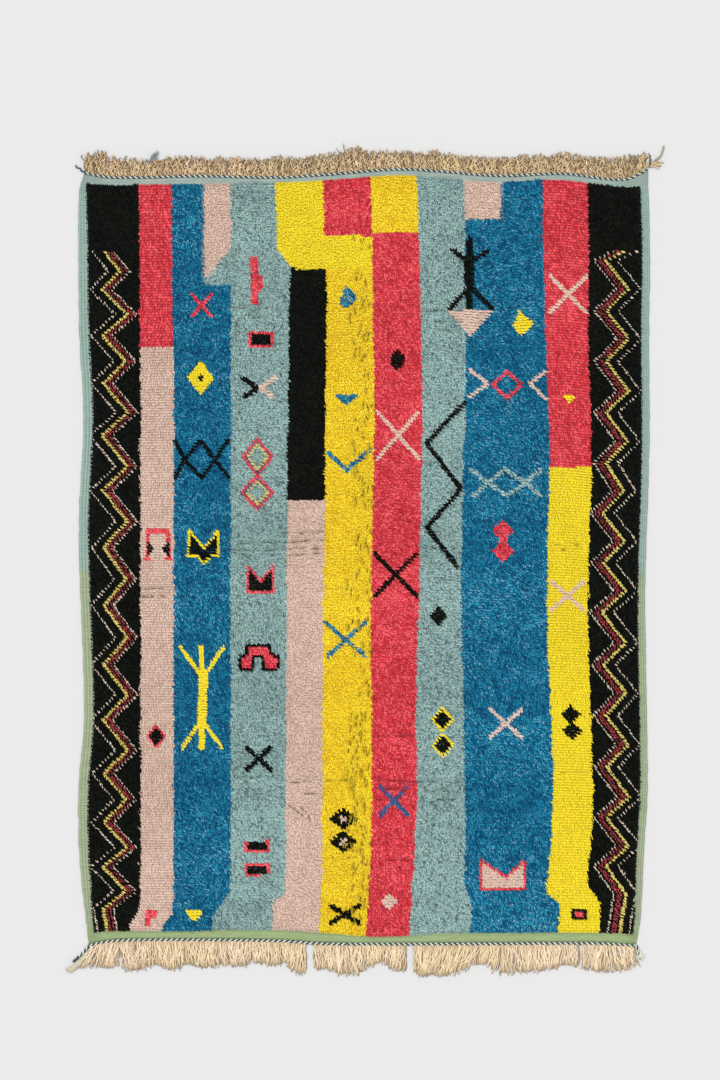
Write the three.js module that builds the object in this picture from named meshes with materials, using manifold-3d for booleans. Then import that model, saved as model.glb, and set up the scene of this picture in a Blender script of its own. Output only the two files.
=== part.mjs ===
// A hand-knotted wool rug lying face up: a cloth with a cut pile, a twined row and a fringe at each end.
// Millimetres. Width runs along X, length along Y, and the floor is z = 0.

import * as THREE from 'three';
import { mergeVertices } from 'three/addons/utils/BufferGeometryUtils.js';
import Module from 'manifold-3d';

const wasm = await Module();
wasm.setup();

// The woven cloth
const RUG_WIDTH = 1810;
const RUG_LENGTH = 2460;
const PILE_HEIGHT = 14;
const PILE_LUMP = { height: 0.7, across: 520, alongside: 610, drift: 1500 };
const PILE_SHOULDER = 5;
const BAND_HEIGHT = 3.5;
const LEFT_SELVEDGE = 27;
const RIGHT_SELVEDGE = 22;
const TOP_BAND = 24;
const BOTTOM_BAND = 28;
const FIELD_COLUMNS = 20;
const FIELD_ROWS = 29;
const CORNER_CROWDING = 0.07;

// The twined rows, the strips that hold the fringes, and the gap between neighbours
const TWINE_WIDTH = 9;
const TWINE_HEIGHT = 7;
const STRIP_WIDTH = 6;
const STRIP_HEIGHT = 5;
const GAP = 0.3;

// The fringes
const STRAND_WIDTH = 11;
const STRAND_HEIGHT = 4.6;
const STRAND_PITCH = 16;
const STRAND_TIP_SHARE = 0.6;
const STRAND_LENGTH_NOISE = 0.12;
const LOCK_DRAW = 2.2;
const LEAN = { size: 7, waves: 3.7 };
const TAIL_ROOT_SHARE = 0.6;
const TAIL_THINNING = 0.18;

// How far each edge stands out from the straight, place running from 0 to 1 along that edge
const LEFT_EDGE = [
  { place: 0.0, out: -24 }, { place: 0.03, out: -15 }, { place: 0.11, out: 5 }, { place: 0.2, out: 8 },
  { place: 0.3, out: -9 }, { place: 0.54, out: 7 }, { place: 0.68, out: -7 }, { place: 0.8, out: 6 },
  { place: 0.93, out: 9 }, { place: 1.0, out: -8 },
];
const RIGHT_EDGE = [
  { place: 0.0, out: -34 }, { place: 0.03, out: -22 }, { place: 0.11, out: -11 }, { place: 0.21, out: 2 },
  { place: 0.45, out: -6 }, { place: 0.64, out: 7 }, { place: 0.8, out: 6 }, { place: 0.89, out: 10 },
  { place: 1.0, out: 3 },
];
const TOP_EDGE = [
  { place: 0.0, out: 9 }, { place: 0.035, out: -4 }, { place: 0.07, out: -9 }, { place: 0.21, out: -4 },
  { place: 0.35, out: -8 }, { place: 0.44, out: 2 }, { place: 0.56, out: 18 }, { place: 0.63, out: 12 },
  { place: 0.74, out: -3 }, { place: 0.85, out: 4 }, { place: 0.96, out: -15 }, { place: 1.0, out: 16 },
];
const BOTTOM_EDGE = [
  { place: 0.0, out: 14 }, { place: 0.04, out: -5 }, { place: 0.1, out: -12 }, { place: 0.34, out: -9 },
  { place: 0.44, out: 1 }, { place: 0.7, out: 1 }, { place: 0.92, out: 0 }, { place: 1.0, out: 10 },
];

// The corded selvedge, share running from the outer edge to the pile
const SELVEDGE_PROFILE = [
  { share: 0.0, height: 2.5 }, { share: 0.17, height: 5 }, { share: 0.34, height: 3.6 },
  { share: 0.51, height: 5 }, { share: 0.68, height: 3.6 }, { share: 0.85, height: 5 },
  { share: 1.0, height: BAND_HEIGHT },
];

// Length of the fringe along each end, and the bare places in it
const TOP_REACH = [
  { place: 0.0, reach: 62 }, { place: 0.03, reach: 74 }, { place: 0.1, reach: 60 },
  { place: 0.3, reach: 66 }, { place: 0.5, reach: 70 }, { place: 0.7, reach: 64 },
  { place: 0.9, reach: 70 }, { place: 1.0, reach: 56 },
];
const BOTTOM_REACH = [
  { place: 0.0, reach: 76 }, { place: 0.07, reach: 88 }, { place: 0.13, reach: 72 },
  { place: 0.16, reach: 90 }, { place: 0.27, reach: 80 }, { place: 0.36, reach: 92 },
  { place: 0.46, reach: 98 }, { place: 0.53, reach: 68 }, { place: 0.6, reach: 90 },
  { place: 0.72, reach: 74 }, { place: 0.84, reach: 92 }, { place: 0.95, reach: 90 },
  { place: 1.0, reach: 74 },
];
const BOTTOM_BARE = [{ from: 0.395, to: 0.412 }, { from: 0.573, to: 0.589 }, { from: 0.878, to: 0.885 }];
const NOT_BARE = [];

// Value of a table at a place, on a smooth curve through its rows
function along(rows, key, place) {
  const last = rows.length - 1;
  const t = Math.min(Math.max(place, rows[0].place), rows[last].place);
  let i = 0;
  while (i < last - 1 && t > rows[i + 1].place) i += 1;
  const slope = (k) => {
    const before = rows[Math.max(k - 1, 0)];
    const after = rows[Math.min(k + 1, last)];
    return (after[key] - before[key]) / (after.place - before.place);
  };
  const span = rows[i + 1].place - rows[i].place;
  const s = (t - rows[i].place) / span;
  const step = s * s * (3 - 2 * s);
  const bulge = s * (1 - s) * span * ((1 - s) * slope(i) - s * slope(i + 1));
  return rows[i][key] * (1 - step) + rows[i + 1][key] * step + bulge;
}

const leftEdge = (place) => -RUG_WIDTH / 2 - along(LEFT_EDGE, 'out', place);
const rightEdge = (place) => RUG_WIDTH / 2 + along(RIGHT_EDGE, 'out', place);
const topEdge = (place) => RUG_LENGTH / 2 + along(TOP_EDGE, 'out', place);
const bottomEdge = (place) => -RUG_LENGTH / 2 - along(BOTTOM_EDGE, 'out', place);
const acrossPlace = (x) => x / RUG_WIDTH + 0.5;
const lengthPlace = (y) => y / RUG_LENGTH + 0.5;

// Seeded numbers from 0 to 1, the same on each run
function seeded(seed) {
  let state = seed;
  return () => {
    state = (state * 1664525 + 1013904223) % 4294967296;
    return state / 4294967296;
  };
}

// Grid lines of the cloth, from one edge to the other: in a margin a line keeps its distance from the edge,
// and in the pile it keeps its share of the pile's width, with the lines closer together near the corners
function gridLines(nearMargin, farMargin, profile, fieldSteps) {
  const lines = [];
  for (const row of profile) {
    lines.push({ near: row.share * nearMargin, far: 0, share: 0, height: row.height });
  }
  for (let i = 0; i <= fieldSteps; i += 1) {
    const t = i / fieldSteps;
    const share = t - CORNER_CROWDING * Math.sin(2 * Math.PI * t);
    lines.push({ near: nearMargin + PILE_SHOULDER, far: farMargin + PILE_SHOULDER, share, height: null });
  }
  for (const row of [...profile].reverse()) {
    lines.push({ near: 0, far: row.share * farMargin, share: 1, height: row.height });
  }
  return lines;
}

const BAND_PROFILE = [{ share: 0, height: BAND_HEIGHT }, { share: 1, height: BAND_HEIGHT }];
const COLUMNS = gridLines(LEFT_SELVEDGE, RIGHT_SELVEDGE, SELVEDGE_PROFILE, FIELD_COLUMNS);
const ROWS = gridLines(BOTTOM_BAND, TOP_BAND, BAND_PROFILE, FIELD_ROWS);

function between(low, high, line) {
  const start = low + line.near;
  const end = high - line.far;
  if (line.height === null) return start + (end - start) * line.share;
  return line.share === 0 ? start : end;
}

// Two slow waves across each other, from -1 to 1
function lump(x, y) {
  const turn = 2 * Math.PI;
  const wide = Math.sin(turn * (x / PILE_LUMP.across + y / PILE_LUMP.drift));
  const long = Math.sin(turn * (y / PILE_LUMP.alongside - x / PILE_LUMP.drift));
  return (wide + long) / 2;
}

function clothHeight(column, row, x, y) {
  if (column.height !== null) return column.height;
  if (row.height !== null) return row.height;
  return PILE_HEIGHT - PILE_LUMP.height * (1 - lump(x, y));
}

// The twine's middle line along an end, one point for each column of the cloth
function endRoute(edge, nominalPlace) {
  return COLUMNS.map((column) => {
    const x = between(leftEdge(nominalPlace), rightEdge(nominalPlace), column);
    return new THREE.Vector2(x, edge(acrossPlace(x)));
  });
}

// A route moved sideways; the left of its direction is positive
function sideways(route, distance) {
  return route.map((point, i) => {
    const before = route[Math.max(i - 1, 0)];
    const after = route[Math.min(i + 1, route.length - 1)];
    const normal = new THREE.Vector2(before.y - after.y, after.x - before.x).normalize();
    return point.clone().addScaledVector(normal, distance);
  });
}

const TWINE_TO_CLOTH = TWINE_WIDTH / 2 + GAP;
const TWINE_TO_STRIP = TWINE_WIDTH / 2 + GAP + STRIP_WIDTH / 2;
const topRoute = endRoute(topEdge, 1);
const bottomRoute = endRoute(bottomEdge, 0);
const clothTop = sideways(topRoute, -TWINE_TO_CLOTH);
const clothBottom = sideways(bottomRoute, TWINE_TO_CLOTH);

// The cloth: a box whose grid is moved to the uneven outline and the pile's height
function clothGeometry() {
  const wide = COLUMNS.length - 1;
  const long = ROWS.length - 1;
  const geometry = new THREE.BoxGeometry(1, 1, 1, wide, long, 1);
  const position = geometry.attributes.position;
  for (let k = 0; k < position.count; k += 1) {
    const c = Math.round((position.getX(k) + 0.5) * wide);
    const r = Math.round((position.getY(k) + 0.5) * long);
    const y = between(clothBottom[c].y, clothTop[c].y, ROWS[r]);
    const place = lengthPlace(y);
    let x = between(leftEdge(place), rightEdge(place), COLUMNS[c]);
    if (r === 0) x = clothBottom[c].x;
    if (r === long) x = clothTop[c].x;
    const isTop = position.getZ(k) > 0;
    position.setXYZ(k, x, y, isTop ? clothHeight(COLUMNS[c], ROWS[r], x, y) : 0);
  }
  return geometry;
}

// A yarn laid on the floor: a cylinder's rings moved to the points of a route, each ring with its own size.
// The corners of its section are given across the route and up from the floor, as shares of the size.
function laidGeometry(route, section, sizes) {
  const steps = route.length - 1;
  const sides = section.length;
  const geometry = new THREE.CylinderGeometry(1, 1, 1, sides, steps);
  const position = geometry.attributes.position;
  const normals = sideways(route, -1).map((moved, i) => moved.sub(route[i]));
  for (let k = 0; k < position.count; k += 1) {
    const ring = Math.round((position.getY(k) + 0.5) * steps);
    const turn = Math.atan2(position.getX(k), position.getZ(k)) / (2 * Math.PI);
    const corner = section[((Math.round(turn * sides) % sides) + sides) % sides];
    const isMiddle = Math.hypot(position.getX(k), position.getZ(k)) < 0.5;
    const across = isMiddle ? 0 : corner.across * sizes[ring].width;
    const up = isMiddle ? sizes[ring].height / 2 : corner.up * sizes[ring].height;
    const at = route[ring].clone().addScaledVector(normals[ring], across);
    position.setXYZ(k, at.x, at.y, up);
  }
  return geometry;
}

// Sections, corner by corner around the yarn; every one has its flat side on the floor
const TWINE_SECTION = [
  { across: 0.25, up: 1 }, { across: 0.5, up: 0.45 }, { across: 0.25, up: 0 },
  { across: -0.25, up: 0 }, { across: -0.5, up: 0.45 }, { across: -0.25, up: 1 },
];
const STRIP_SECTION = [
  { across: 0.5, up: 1 }, { across: 0.5, up: 0 }, { across: -0.5, up: 0 }, { across: -0.5, up: 1 },
];
const STRAND_SECTION = [{ across: 0, up: 1 }, { across: 0.5, up: 0 }, { across: -0.5, up: 0 }];

function solid(geometry) {
  const bare = geometry.clone();
  bare.deleteAttribute('normal');
  bare.deleteAttribute('uv');
  const merged = mergeVertices(bare, 1e-4);
  const mesh = new wasm.Mesh({
    numProp: 3,
    vertProperties: new Float32Array(merged.attributes.position.array),
    triVerts: new Uint32Array(merged.index.array),
  });
  return new wasm.Manifold(mesh);
}

function geometryOf(manifold) {
  const { vertProperties, triVerts } = manifold.getMesh();
  const geometry = new THREE.BufferGeometry();
  geometry.setAttribute('position', new THREE.BufferAttribute(vertProperties, 3));
  geometry.setIndex(new THREE.BufferAttribute(triVerts, 1));
  geometry.computeVertexNormals();
  return geometry;
}

const points = (rows) => rows.map((row) => new THREE.Vector2(row.x, row.y));

// A twined row, thinner in its loose ends
function twineGeometry(route, startTail, endTail) {
  const whole = [...points(startTail), ...route, ...points(endTail)];
  const sizes = whole.map((_, i) => {
    const intoTail = Math.max(startTail.length - i, i - (startTail.length + route.length - 1), 0);
    const share = 1 - TAIL_THINNING * intoTail;
    return { width: TWINE_WIDTH * share, height: TWINE_HEIGHT * share };
  });
  return laidGeometry(whole, TWINE_SECTION, sizes);
}

const TOP_TWINE_START = [{ x: -923, y: 1266 }, { x: -912, y: 1254 }];
const BOTTOM_TWINE_START = [{ x: -925, y: -1276 }, { x: -906, y: -1258 }];
const BOTTOM_TWINE_END = [{ x: 881, y: -1256 }, { x: 885, y: -1282 }];

// One strand: out from the strip, swinging from side to side, and drawn towards its lock at the tip
function strandRoute(root, outward, reach, lean, swing, steps) {
  const route = [];
  for (let i = 0; i <= steps; i += 1) {
    const s = i / steps;
    const swung = i === 0 ? 0 : swing.size * Math.sin(swing.start + s * swing.turns * 2 * Math.PI);
    route.push(new THREE.Vector2(root.x + lean * s * s + swung, root.y + outward * reach * s));
  }
  return route;
}

function taper(steps, width, height) {
  return Array.from({ length: steps + 1 }, (_, i) => {
    const share = 1 - (1 - STRAND_TIP_SHARE) * (i / steps) ** 2;
    return { width: width * share, height: height * share };
  });
}

// The point of a route that runs across the rug, at a given x
function pointAt(route, x) {
  const k = Math.max(route.findIndex((point) => point.x > x), 1);
  const t = (x - route[k - 1].x) / (route[k].x - route[k - 1].x);
  return route[k - 1].clone().lerp(route[k], t);
}

// A fringe: the strip along the twine, its strands and its loose ends, joined into one body
function fringeGeometry({ stripRoute, outward, reachRows, bare, swing, lockSize, steps, seed, tails }) {
  const random = seeded(seed);
  const stripSizes = stripRoute.map(() => ({ width: STRIP_WIDTH, height: STRIP_HEIGHT }));
  const strandSizes = taper(steps, STRAND_WIDTH, STRAND_HEIGHT);
  let body = solid(laidGeometry(stripRoute, STRIP_SECTION, stripSizes));
  const first = stripRoute[0];
  const last = stripRoute[stripRoute.length - 1];
  const room = last.x - first.x - STRAND_WIDTH;
  const count = Math.floor(room / STRAND_PITCH);
  for (let i = 0; i <= count; i += 1) {
    const root = pointAt(stripRoute, first.x + STRAND_WIDTH / 2 + room * (i / count));
    const place = acrossPlace(root.x);
    const reach = along(reachRows, 'reach', place) * (1 - STRAND_LENGTH_NOISE * random());
    if (bare.some((gap) => place > gap.from && place < gap.to)) continue;
    const fromLockMiddle = (i % lockSize) - (lockSize - 1) / 2;
    const lean = LEAN.size * Math.sin(2 * Math.PI * LEAN.waves * place) - LOCK_DRAW * fromLockMiddle;
    const strandSwing = { ...swing, start: swing.start + swing.drift * place };
    const route = strandRoute(root, outward, reach, lean, strandSwing, steps);
    body = body.add(solid(laidGeometry(route, STRAND_SECTION, strandSizes)));
  }
  for (const tail of tails) {
    const route = [tail.fromEnd ? last : first, ...points(tail.route)];
    const sizes = taper(route.length - 1, tail.width, tail.height);
    sizes[0].width *= TAIL_ROOT_SHARE;
    body = body.add(solid(laidGeometry(route, STRIP_SECTION, sizes)));
  }
  return geometryOf(body);
}

// Loose ends at the corners, each leaving the end of its strip
const TOP_TAILS = [
  {
    fromEnd: true, width: 7, height: 5,
    route: [
      { x: 913, y: 1276 }, { x: 933, y: 1285 }, { x: 949, y: 1294 },
      { x: 955, y: 1309 }, { x: 959, y: 1330 },
    ],
  },
  {
    fromEnd: true, width: 8, height: 4,
    route: [{ x: 911, y: 1275 }, { x: 932, y: 1275 }, { x: 951, y: 1269 }],
  },
];
const BOTTOM_TAILS = [
  {
    fromEnd: false, width: 7, height: 6,
    route: [{ x: -893, y: -1263 }, { x: -918, y: -1287 }, { x: -944, y: -1309 }],
  },
];

const shortened = (route) => route.slice(2, -2);
const topStrip = shortened(sideways(topRoute, TWINE_TO_STRIP));
const bottomStrip = shortened(sideways(bottomRoute, -TWINE_TO_STRIP));

const topFringe = fringeGeometry({
  stripRoute: topStrip, outward: 1, reachRows: TOP_REACH, bare: NOT_BARE,
  swing: { size: 3.2, turns: 1.3, start: 0.4, drift: 9 }, lockSize: 4, steps: 4, seed: 11, tails: TOP_TAILS,
});
const bottomFringe = fringeGeometry({
  stripRoute: bottomStrip, outward: -1, reachRows: BOTTOM_REACH, bare: BOTTOM_BARE,
  swing: { size: 2.2, turns: 0.6, start: 1.1, drift: 9 }, lockSize: 6, steps: 3, seed: 5, tails: BOTTOM_TAILS,
});

// Finishes
const woolPile = new THREE.MeshStandardMaterial({ color: 0xd9b04a, roughness: 0.95, metalness: 0 });
const twineYarn = new THREE.MeshStandardMaterial({ color: 0x2f5f74, roughness: 0.8, metalness: 0 });
const fringeYarn = new THREE.MeshStandardMaterial({ color: 0xd2b88c, roughness: 0.9, metalness: 0 });

function piece(name, geometry, material) {
  const mesh = new THREE.Mesh(geometry, material);
  mesh.name = name;
  return mesh;
}

const rug = new THREE.Group();
rug.add(
  piece('rug', clothGeometry(), woolPile),
  piece('twine_top', twineGeometry(topRoute, TOP_TWINE_START, []), twineYarn),
  piece('twine_bottom', twineGeometry(bottomRoute, BOTTOM_TWINE_START, BOTTOM_TWINE_END), twineYarn),
  piece('fringe_top', topFringe, fringeYarn),
  piece('fringe_bottom', bottomFringe, fringeYarn),
);

// The origin is under the middle of the whole rug
const middle = new THREE.Box3().setFromObject(rug).getCenter(new THREE.Vector3());
rug.position.set(-middle.x, -middle.y, 0);
rug.updateMatrixWorld(true);

export default rug;
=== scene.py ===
"""A hand-knotted wool rug, woven around its frame: ground cloth, cut pile, twined ends and fringes."""

import math

import bpy
import numpy as np
from bpy.props import FloatProperty, FloatVectorProperty, IntProperty, PointerProperty
from bpy.types import Operator, Panel, PropertyGroup
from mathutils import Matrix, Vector


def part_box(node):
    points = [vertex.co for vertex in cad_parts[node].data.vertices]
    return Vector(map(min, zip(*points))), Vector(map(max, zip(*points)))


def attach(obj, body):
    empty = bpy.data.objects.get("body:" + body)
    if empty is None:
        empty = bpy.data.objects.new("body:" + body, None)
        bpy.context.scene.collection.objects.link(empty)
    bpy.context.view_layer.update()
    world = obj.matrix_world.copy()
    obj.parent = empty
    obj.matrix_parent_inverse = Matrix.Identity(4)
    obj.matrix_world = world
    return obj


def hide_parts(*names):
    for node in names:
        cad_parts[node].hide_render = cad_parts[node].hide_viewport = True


bl_info = {
    "name": "Hand-knotted wool rug",
    "version": (1, 0, 0),
    "blender": (4, 5, 0),
    "location": "3D View > Sidebar > Rug",
    "description": "Weaves a striped wool rug with small knotted marks, twined ends and fringes",
    "category": "Add Mesh",
}

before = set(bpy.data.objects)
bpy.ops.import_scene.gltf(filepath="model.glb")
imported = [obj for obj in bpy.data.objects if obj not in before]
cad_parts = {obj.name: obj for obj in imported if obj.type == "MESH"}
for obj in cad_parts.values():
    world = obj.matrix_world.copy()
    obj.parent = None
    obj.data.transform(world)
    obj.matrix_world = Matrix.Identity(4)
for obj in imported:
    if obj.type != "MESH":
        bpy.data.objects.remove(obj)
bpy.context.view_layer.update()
MM = 0.001
UP = np.array((0.0, 0.0, 1.0))

# Sizes in millimetres, X from the middle of the cloth and Y along it. The four edges are those of the part's
# source, with one more point on the left. A row is a place along the edge from 0 to 1, and how far out.
CLOTH_WIDTH = 1810.0
CLOTH_LENGTH = 2460.0
LEFT_EDGE = (
    (0.0, -24), (0.03, -15), (0.11, 5), (0.2, 8), (0.3, -9),
    (0.54, 7), (0.68, -7), (0.8, 6), (0.93, 9), (0.98, 6), (1.0, -8),
)
RIGHT_EDGE = (
    (0.0, -34), (0.03, -22), (0.11, -11), (0.21, 2), (0.45, -6),
    (0.64, 7), (0.8, 6), (0.89, 10), (1.0, 3),
)
TOP_EDGE = (
    (0.0, 9), (0.035, -4), (0.07, -9), (0.21, -4), (0.35, -8), (0.44, 2),
    (0.56, 18), (0.63, 12), (0.74, -3), (0.85, 4), (0.96, -15), (1.0, 16),
)
BOTTOM_EDGE = (
    (0.0, 14), (0.04, -5), (0.1, -12), (0.34, -9), (0.44, 1), (0.7, 1), (0.92, 0), (1.0, 10),
)

# The corded selvedge: share of the way from the outer edge to the pile, and height
SELVEDGE_PROFILE = (
    (0.0, 2.2), (0.06, 4.2), (0.17, 5.4), (0.28, 4.4), (0.34, 2.7), (0.4, 4.4), (0.51, 5.4),
    (0.62, 4.4), (0.68, 2.7), (0.74, 4.4), (0.85, 5.4), (0.95, 4.2), (1.0, 3.2),
)
END_Y = CLOTH_LENGTH / 2
TWINE_TO_CLOTH = 4.8
BAND_HEIGHT = 3.5
FIELD_HEIGHT = 7.5

# Bare cloth between an edge and the pile: place along the edge, width
LEFT_MARGIN = ((0.0, 22), (0.045, 24), (0.09, 30), (0.5, 30), (0.85, 30), (0.96, 26), (1.0, 15))
RIGHT_MARGIN = ((0.0, 16), (0.06, 19), (0.12, 22), (0.5, 22), (1.0, 24))
TOP_MARGIN = (
    (0.0, 33), (0.06, 26), (0.1, 24), (0.24, 25), (0.3, 17), (0.42, 18), (0.55, 20), (0.7, 22), (0.8, 19),
    (0.88, 22), (0.94, 22), (0.965, 26), (0.98, 34), (1.0, 53),
)
BOTTOM_MARGIN = (
    (0.0, 36), (0.03, 34), (0.08, 28), (0.2, 27), (0.26, 32), (0.43, 34), (0.5, 25), (0.56, 25), (0.63, 33),
    (0.8, 34), (0.9, 33), (1.0, 36),
)

# The design lies this far below the middle of the cloth
DESIGN_LOW = 7.4

# Scale of the photo, and the pixel at the design's middle
MM_TO_PIXEL = 3.2
MIDDLE_ROW = 561.5
MIDDLE_COLUMN = 364

# Seams between the lengthwise stripes, from left to right, as noted on the photo: pixel row, then column
SEAM_PIXELS = (
    ((183, 139), (400, 141), (890, 141), (910, 139.5), (924, 131), (932, 131)),
    ((183, 172), (290, 172), (360, 174), (880, 174), (915, 172), (924, 163), (932, 162)),
    ((183, 231), (890, 231), (917, 213), (932, 213)),
    (
        (181, 276), (248, 277), (267, 291), (300, 290), (450, 287.6), (800, 286), (893, 286), (902, 273),
        (932, 273),
    ),
    ((181, 323), (240, 324), (300, 327), (400, 325.5), (530, 325), (620, 323), (860, 322), (932, 320)),
    ((176, 371), (300, 373), (400, 374.5), (530, 372.5), (620, 370.5), (720, 372.5), (860, 371), (934, 366)),
    (
        (175, 417), (235, 418.5), (330, 421.3), (420, 422.5), (520, 421), (620, 418), (700, 416), (800, 417),
        (900, 411.5), (934, 409.5),
    ),
    (
        (178, 464), (330, 466), (400, 466), (480, 463), (600, 461), (740, 464.3), (800, 465.3), (880, 464.3),
        (912, 472), (934, 470),
    ),
    (
        (181, 543), (260, 543.8), (400, 548), (470, 549.7), (600, 546.4), (700, 550.3), (780, 553.6),
        (830, 551.4), (893, 547), (905, 560), (934, 558),
    ),
    (
        (184, 588), (330, 588), (480, 591.5), (600, 587), (700, 590.4), (800, 593.3), (850, 590.5),
        (882, 586.5), (903, 599.5), (934, 599.5),
    ),
)
STRIPE_WOOLS = (
    "black", "blush", "blue", "teal", "blush", "gold", "coral", "teal", "blue", "coral", "black",
)
LAST_STRIPE = len(STRIPE_WOOLS) - 1

# Parted lines in the pile: X and Y of each end, and how far they open
CREASES = (
    (-460, 36, -128, 42, 1.0), (-400, 60, -110, 66, 0.8), (-300, 20, -135, 24, 0.6),
    (-300, 88, -128, 94, 0.7), (-712, -84, -612, -82, 0.7), (-712, -112, -620, -112, 0.5),
    (-706, 14, -615, 18, 0.5), (-420, 812, -250, 806, 0.8), (-404, 778, -262, 776, 0.6),
    (180, 800, 320, 802, 0.7), (178, 770, 316, 766, 0.6), (36, 818, 176, 822, 0.6),
    (34, 788, 172, 790, 0.4), (182, 742, 310, 738, 0.5), (-246, -706, -20, -700, 0.9),
    (-240, -744, -132, -740, 0.6), (-420, -690, -330, -688, 0.6), (30, -700, 330, -706, 0.9),
    (34, -728, 320, -734, 0.8), (34, -764, 300, -762, 0.5), (608, -673, 714, -675, 0.5),
    (650, -694, 716, -696, 0.4), (600, 54, 716, 53, 0.5), (598, 37, 714, 38, 0.45),
    (30, -560, 170, -556, 0.6), (20, -950, 150, -956, 0.8), (24, -976, 140, -980, 0.5),
    (184, 44, 312, 40, 0.5), (184, -10, 300, -14, 0.5), (326, 60, 560, 56, 0.4),
    (-600, -560, -480, -562, 0.4), (-130, -950, -20, -946, 0.5), (-420, 30, -360, 16, 0.6),
    (-240, -780, -190, -816, 0.6), (-200, -784, -170, -830, 0.5), (-132, -640, -60, -644, 0.5),
    (-606, 36, -470, 32, 0.4),
)
CREASE_REACH = 9.0
CREASE_PUSH = 2.4
CREASE_NEAR = 24
CREASE_WIDTH = 2.6

# Wrinkles of the golden stripe: middle and spread across, limits across, reach along, and where most lie
WRINKLE_LINE = (-4, 21)
WRINKLE_SIDES = (-76, 26)
WRINKLE_REACH = (-1170, 1190)
WRINKLE_LOW = (-990, -480)
WRINKLE_LOW_SHARE = 0.34
WRINKLE_WIDTH = 2.5
WRINKLE_COUNT = 240

# Fringe lengths outward from the twined row, and where the bottom one parts or is bare
TOP_REACH = (
    (0.0, 52), (0.02, 75), (0.035, 83), (0.06, 71), (0.1, 64), (0.15, 63), (0.18, 70), (0.21, 64),
    (0.24, 60), (0.275, 68), (0.3, 62), (0.34, 70), (0.36, 74), (0.375, 60), (0.4, 70), (0.435, 70),
    (0.455, 74), (0.47, 80), (0.485, 90), (0.495, 74), (0.53, 68), (0.57, 64), (0.592, 54), (0.61, 62),
    (0.625, 72), (0.64, 62), (0.68, 60), (0.74, 62), (0.79, 66), (0.82, 60), (0.86, 72), (0.89, 66),
    (0.93, 72), (0.97, 78), (1.0, 56),
)
BOTTOM_REACH = (
    (0.0, 60), (0.02, 78), (0.05, 91), (0.083, 100), (0.115, 93), (0.13, 85), (0.15, 101), (0.18, 87),
    (0.21, 92), (0.25, 86), (0.275, 88), (0.3, 73), (0.335, 81), (0.365, 73), (0.388, 104), (0.41, 96),
    (0.43, 85), (0.457, 102), (0.475, 103), (0.5, 84), (0.528, 56), (0.56, 86), (0.6, 100), (0.655, 106),
    (0.69, 92), (0.719, 63), (0.75, 103), (0.78, 92), (0.81, 97), (0.846, 77), (0.88, 81), (0.91, 92),
    (0.945, 85), (0.975, 68), (1.0, 58),
)
BOTTOM_LEAN = (
    (0.0, -8), (0.1, 0), (0.3, 2), (0.46, 5), (0.53, -6), (0.6, -20), (0.66, -32), (0.72, -18), (0.78, -4),
    (0.86, -8), (0.91, 4), (0.96, 16), (1.0, 4),
)
BOTTOM_PARTED = ((0.099, 7), (0.16, 4), (0.945, 5))
BOTTOM_BARE = ((0.397, 0.412), (0.573, 0.588), (0.878, 0.884))

# X at which the bottom twining changes the way it is twisted
TWIST_FLIPS = -54.0

# Loose ends at the corners: X, Y and height of each point
TOP_LEFT_TWINE = ((-924, 1258, 3.0), (-914, 1252, 3.2), (-904, 1245, 3.5))
BOTTOM_LEFT_TWINE = ((-926, -1284, 2.8), (-914, -1273, 3.2), (-901, -1262, 3.4))
BOTTOM_RIGHT_TWINE = ((879, -1254, 3.5), (882, -1267, 3.2), (885, -1280, 2.8))
BOTTOM_LEFT_KNOT = ((-913, -1272, 5.0), (-921, -1279, 5.4), (-929, -1287, 5.0))
TOP_RIGHT_KNOT = ((911, 1254, 5.0), (914, 1261, 5.6), (916, 1269, 5.0))
BOTTOM_RIGHT_FRAY = ((880, -1256, 4.0), (886, -1266, 4.4), (890, -1280, 4.0))
TOP_RIGHT_TAIL = (
    (893, 1250, 3.4), (914, 1262, 4.0), (931, 1275, 4.2), (947, 1286, 4.0), (954, 1299, 3.6),
    (957, 1311, 3.4), (959, 1322, 3.2),
)
TOP_RIGHT_TUFT = ((898, 1256, 4.0), (914, 1264, 5.0), (931, 1266, 4.6), (948, 1261, 3.6))
GREY_TUFT = ((-683, 1272, 8.0), (-677, 1283, 9.0), (-670, 1291, 8.0), (-664, 1299, 6.0))
BOTTOM_LEFT_TAIL = (
    (-884, -1256, 5.0), (-897, -1274, 6.0), (-908, -1287, 6.0), (-920, -1298, 5.6), (-933, -1308, 5.2),
    (-946, -1317, 4.8),
)


def dyed(card):
    """A colour as on a dyer's card, 0xRRGGBB, in the linear values that a node takes."""
    parts = [(card >> shift & 255) / 255 for shift in (16, 8, 0)]
    return tuple(c / 12.92 if c <= 0.04045 else ((c + 0.055) / 1.055) ** 2.4 for c in parts)


def length(name, default, about):
    """A length that a user may change, in metres."""
    return FloatProperty(name=name, description=about, default=default, min=0.0, precision=4, unit="LENGTH")


def dye(name, card, about):
    """A colour that a user may change."""
    return FloatVectorProperty(
        name=name, description=about, default=dyed(card), size=3, min=0.0, max=1.0, subtype="COLOR"
    )


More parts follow.
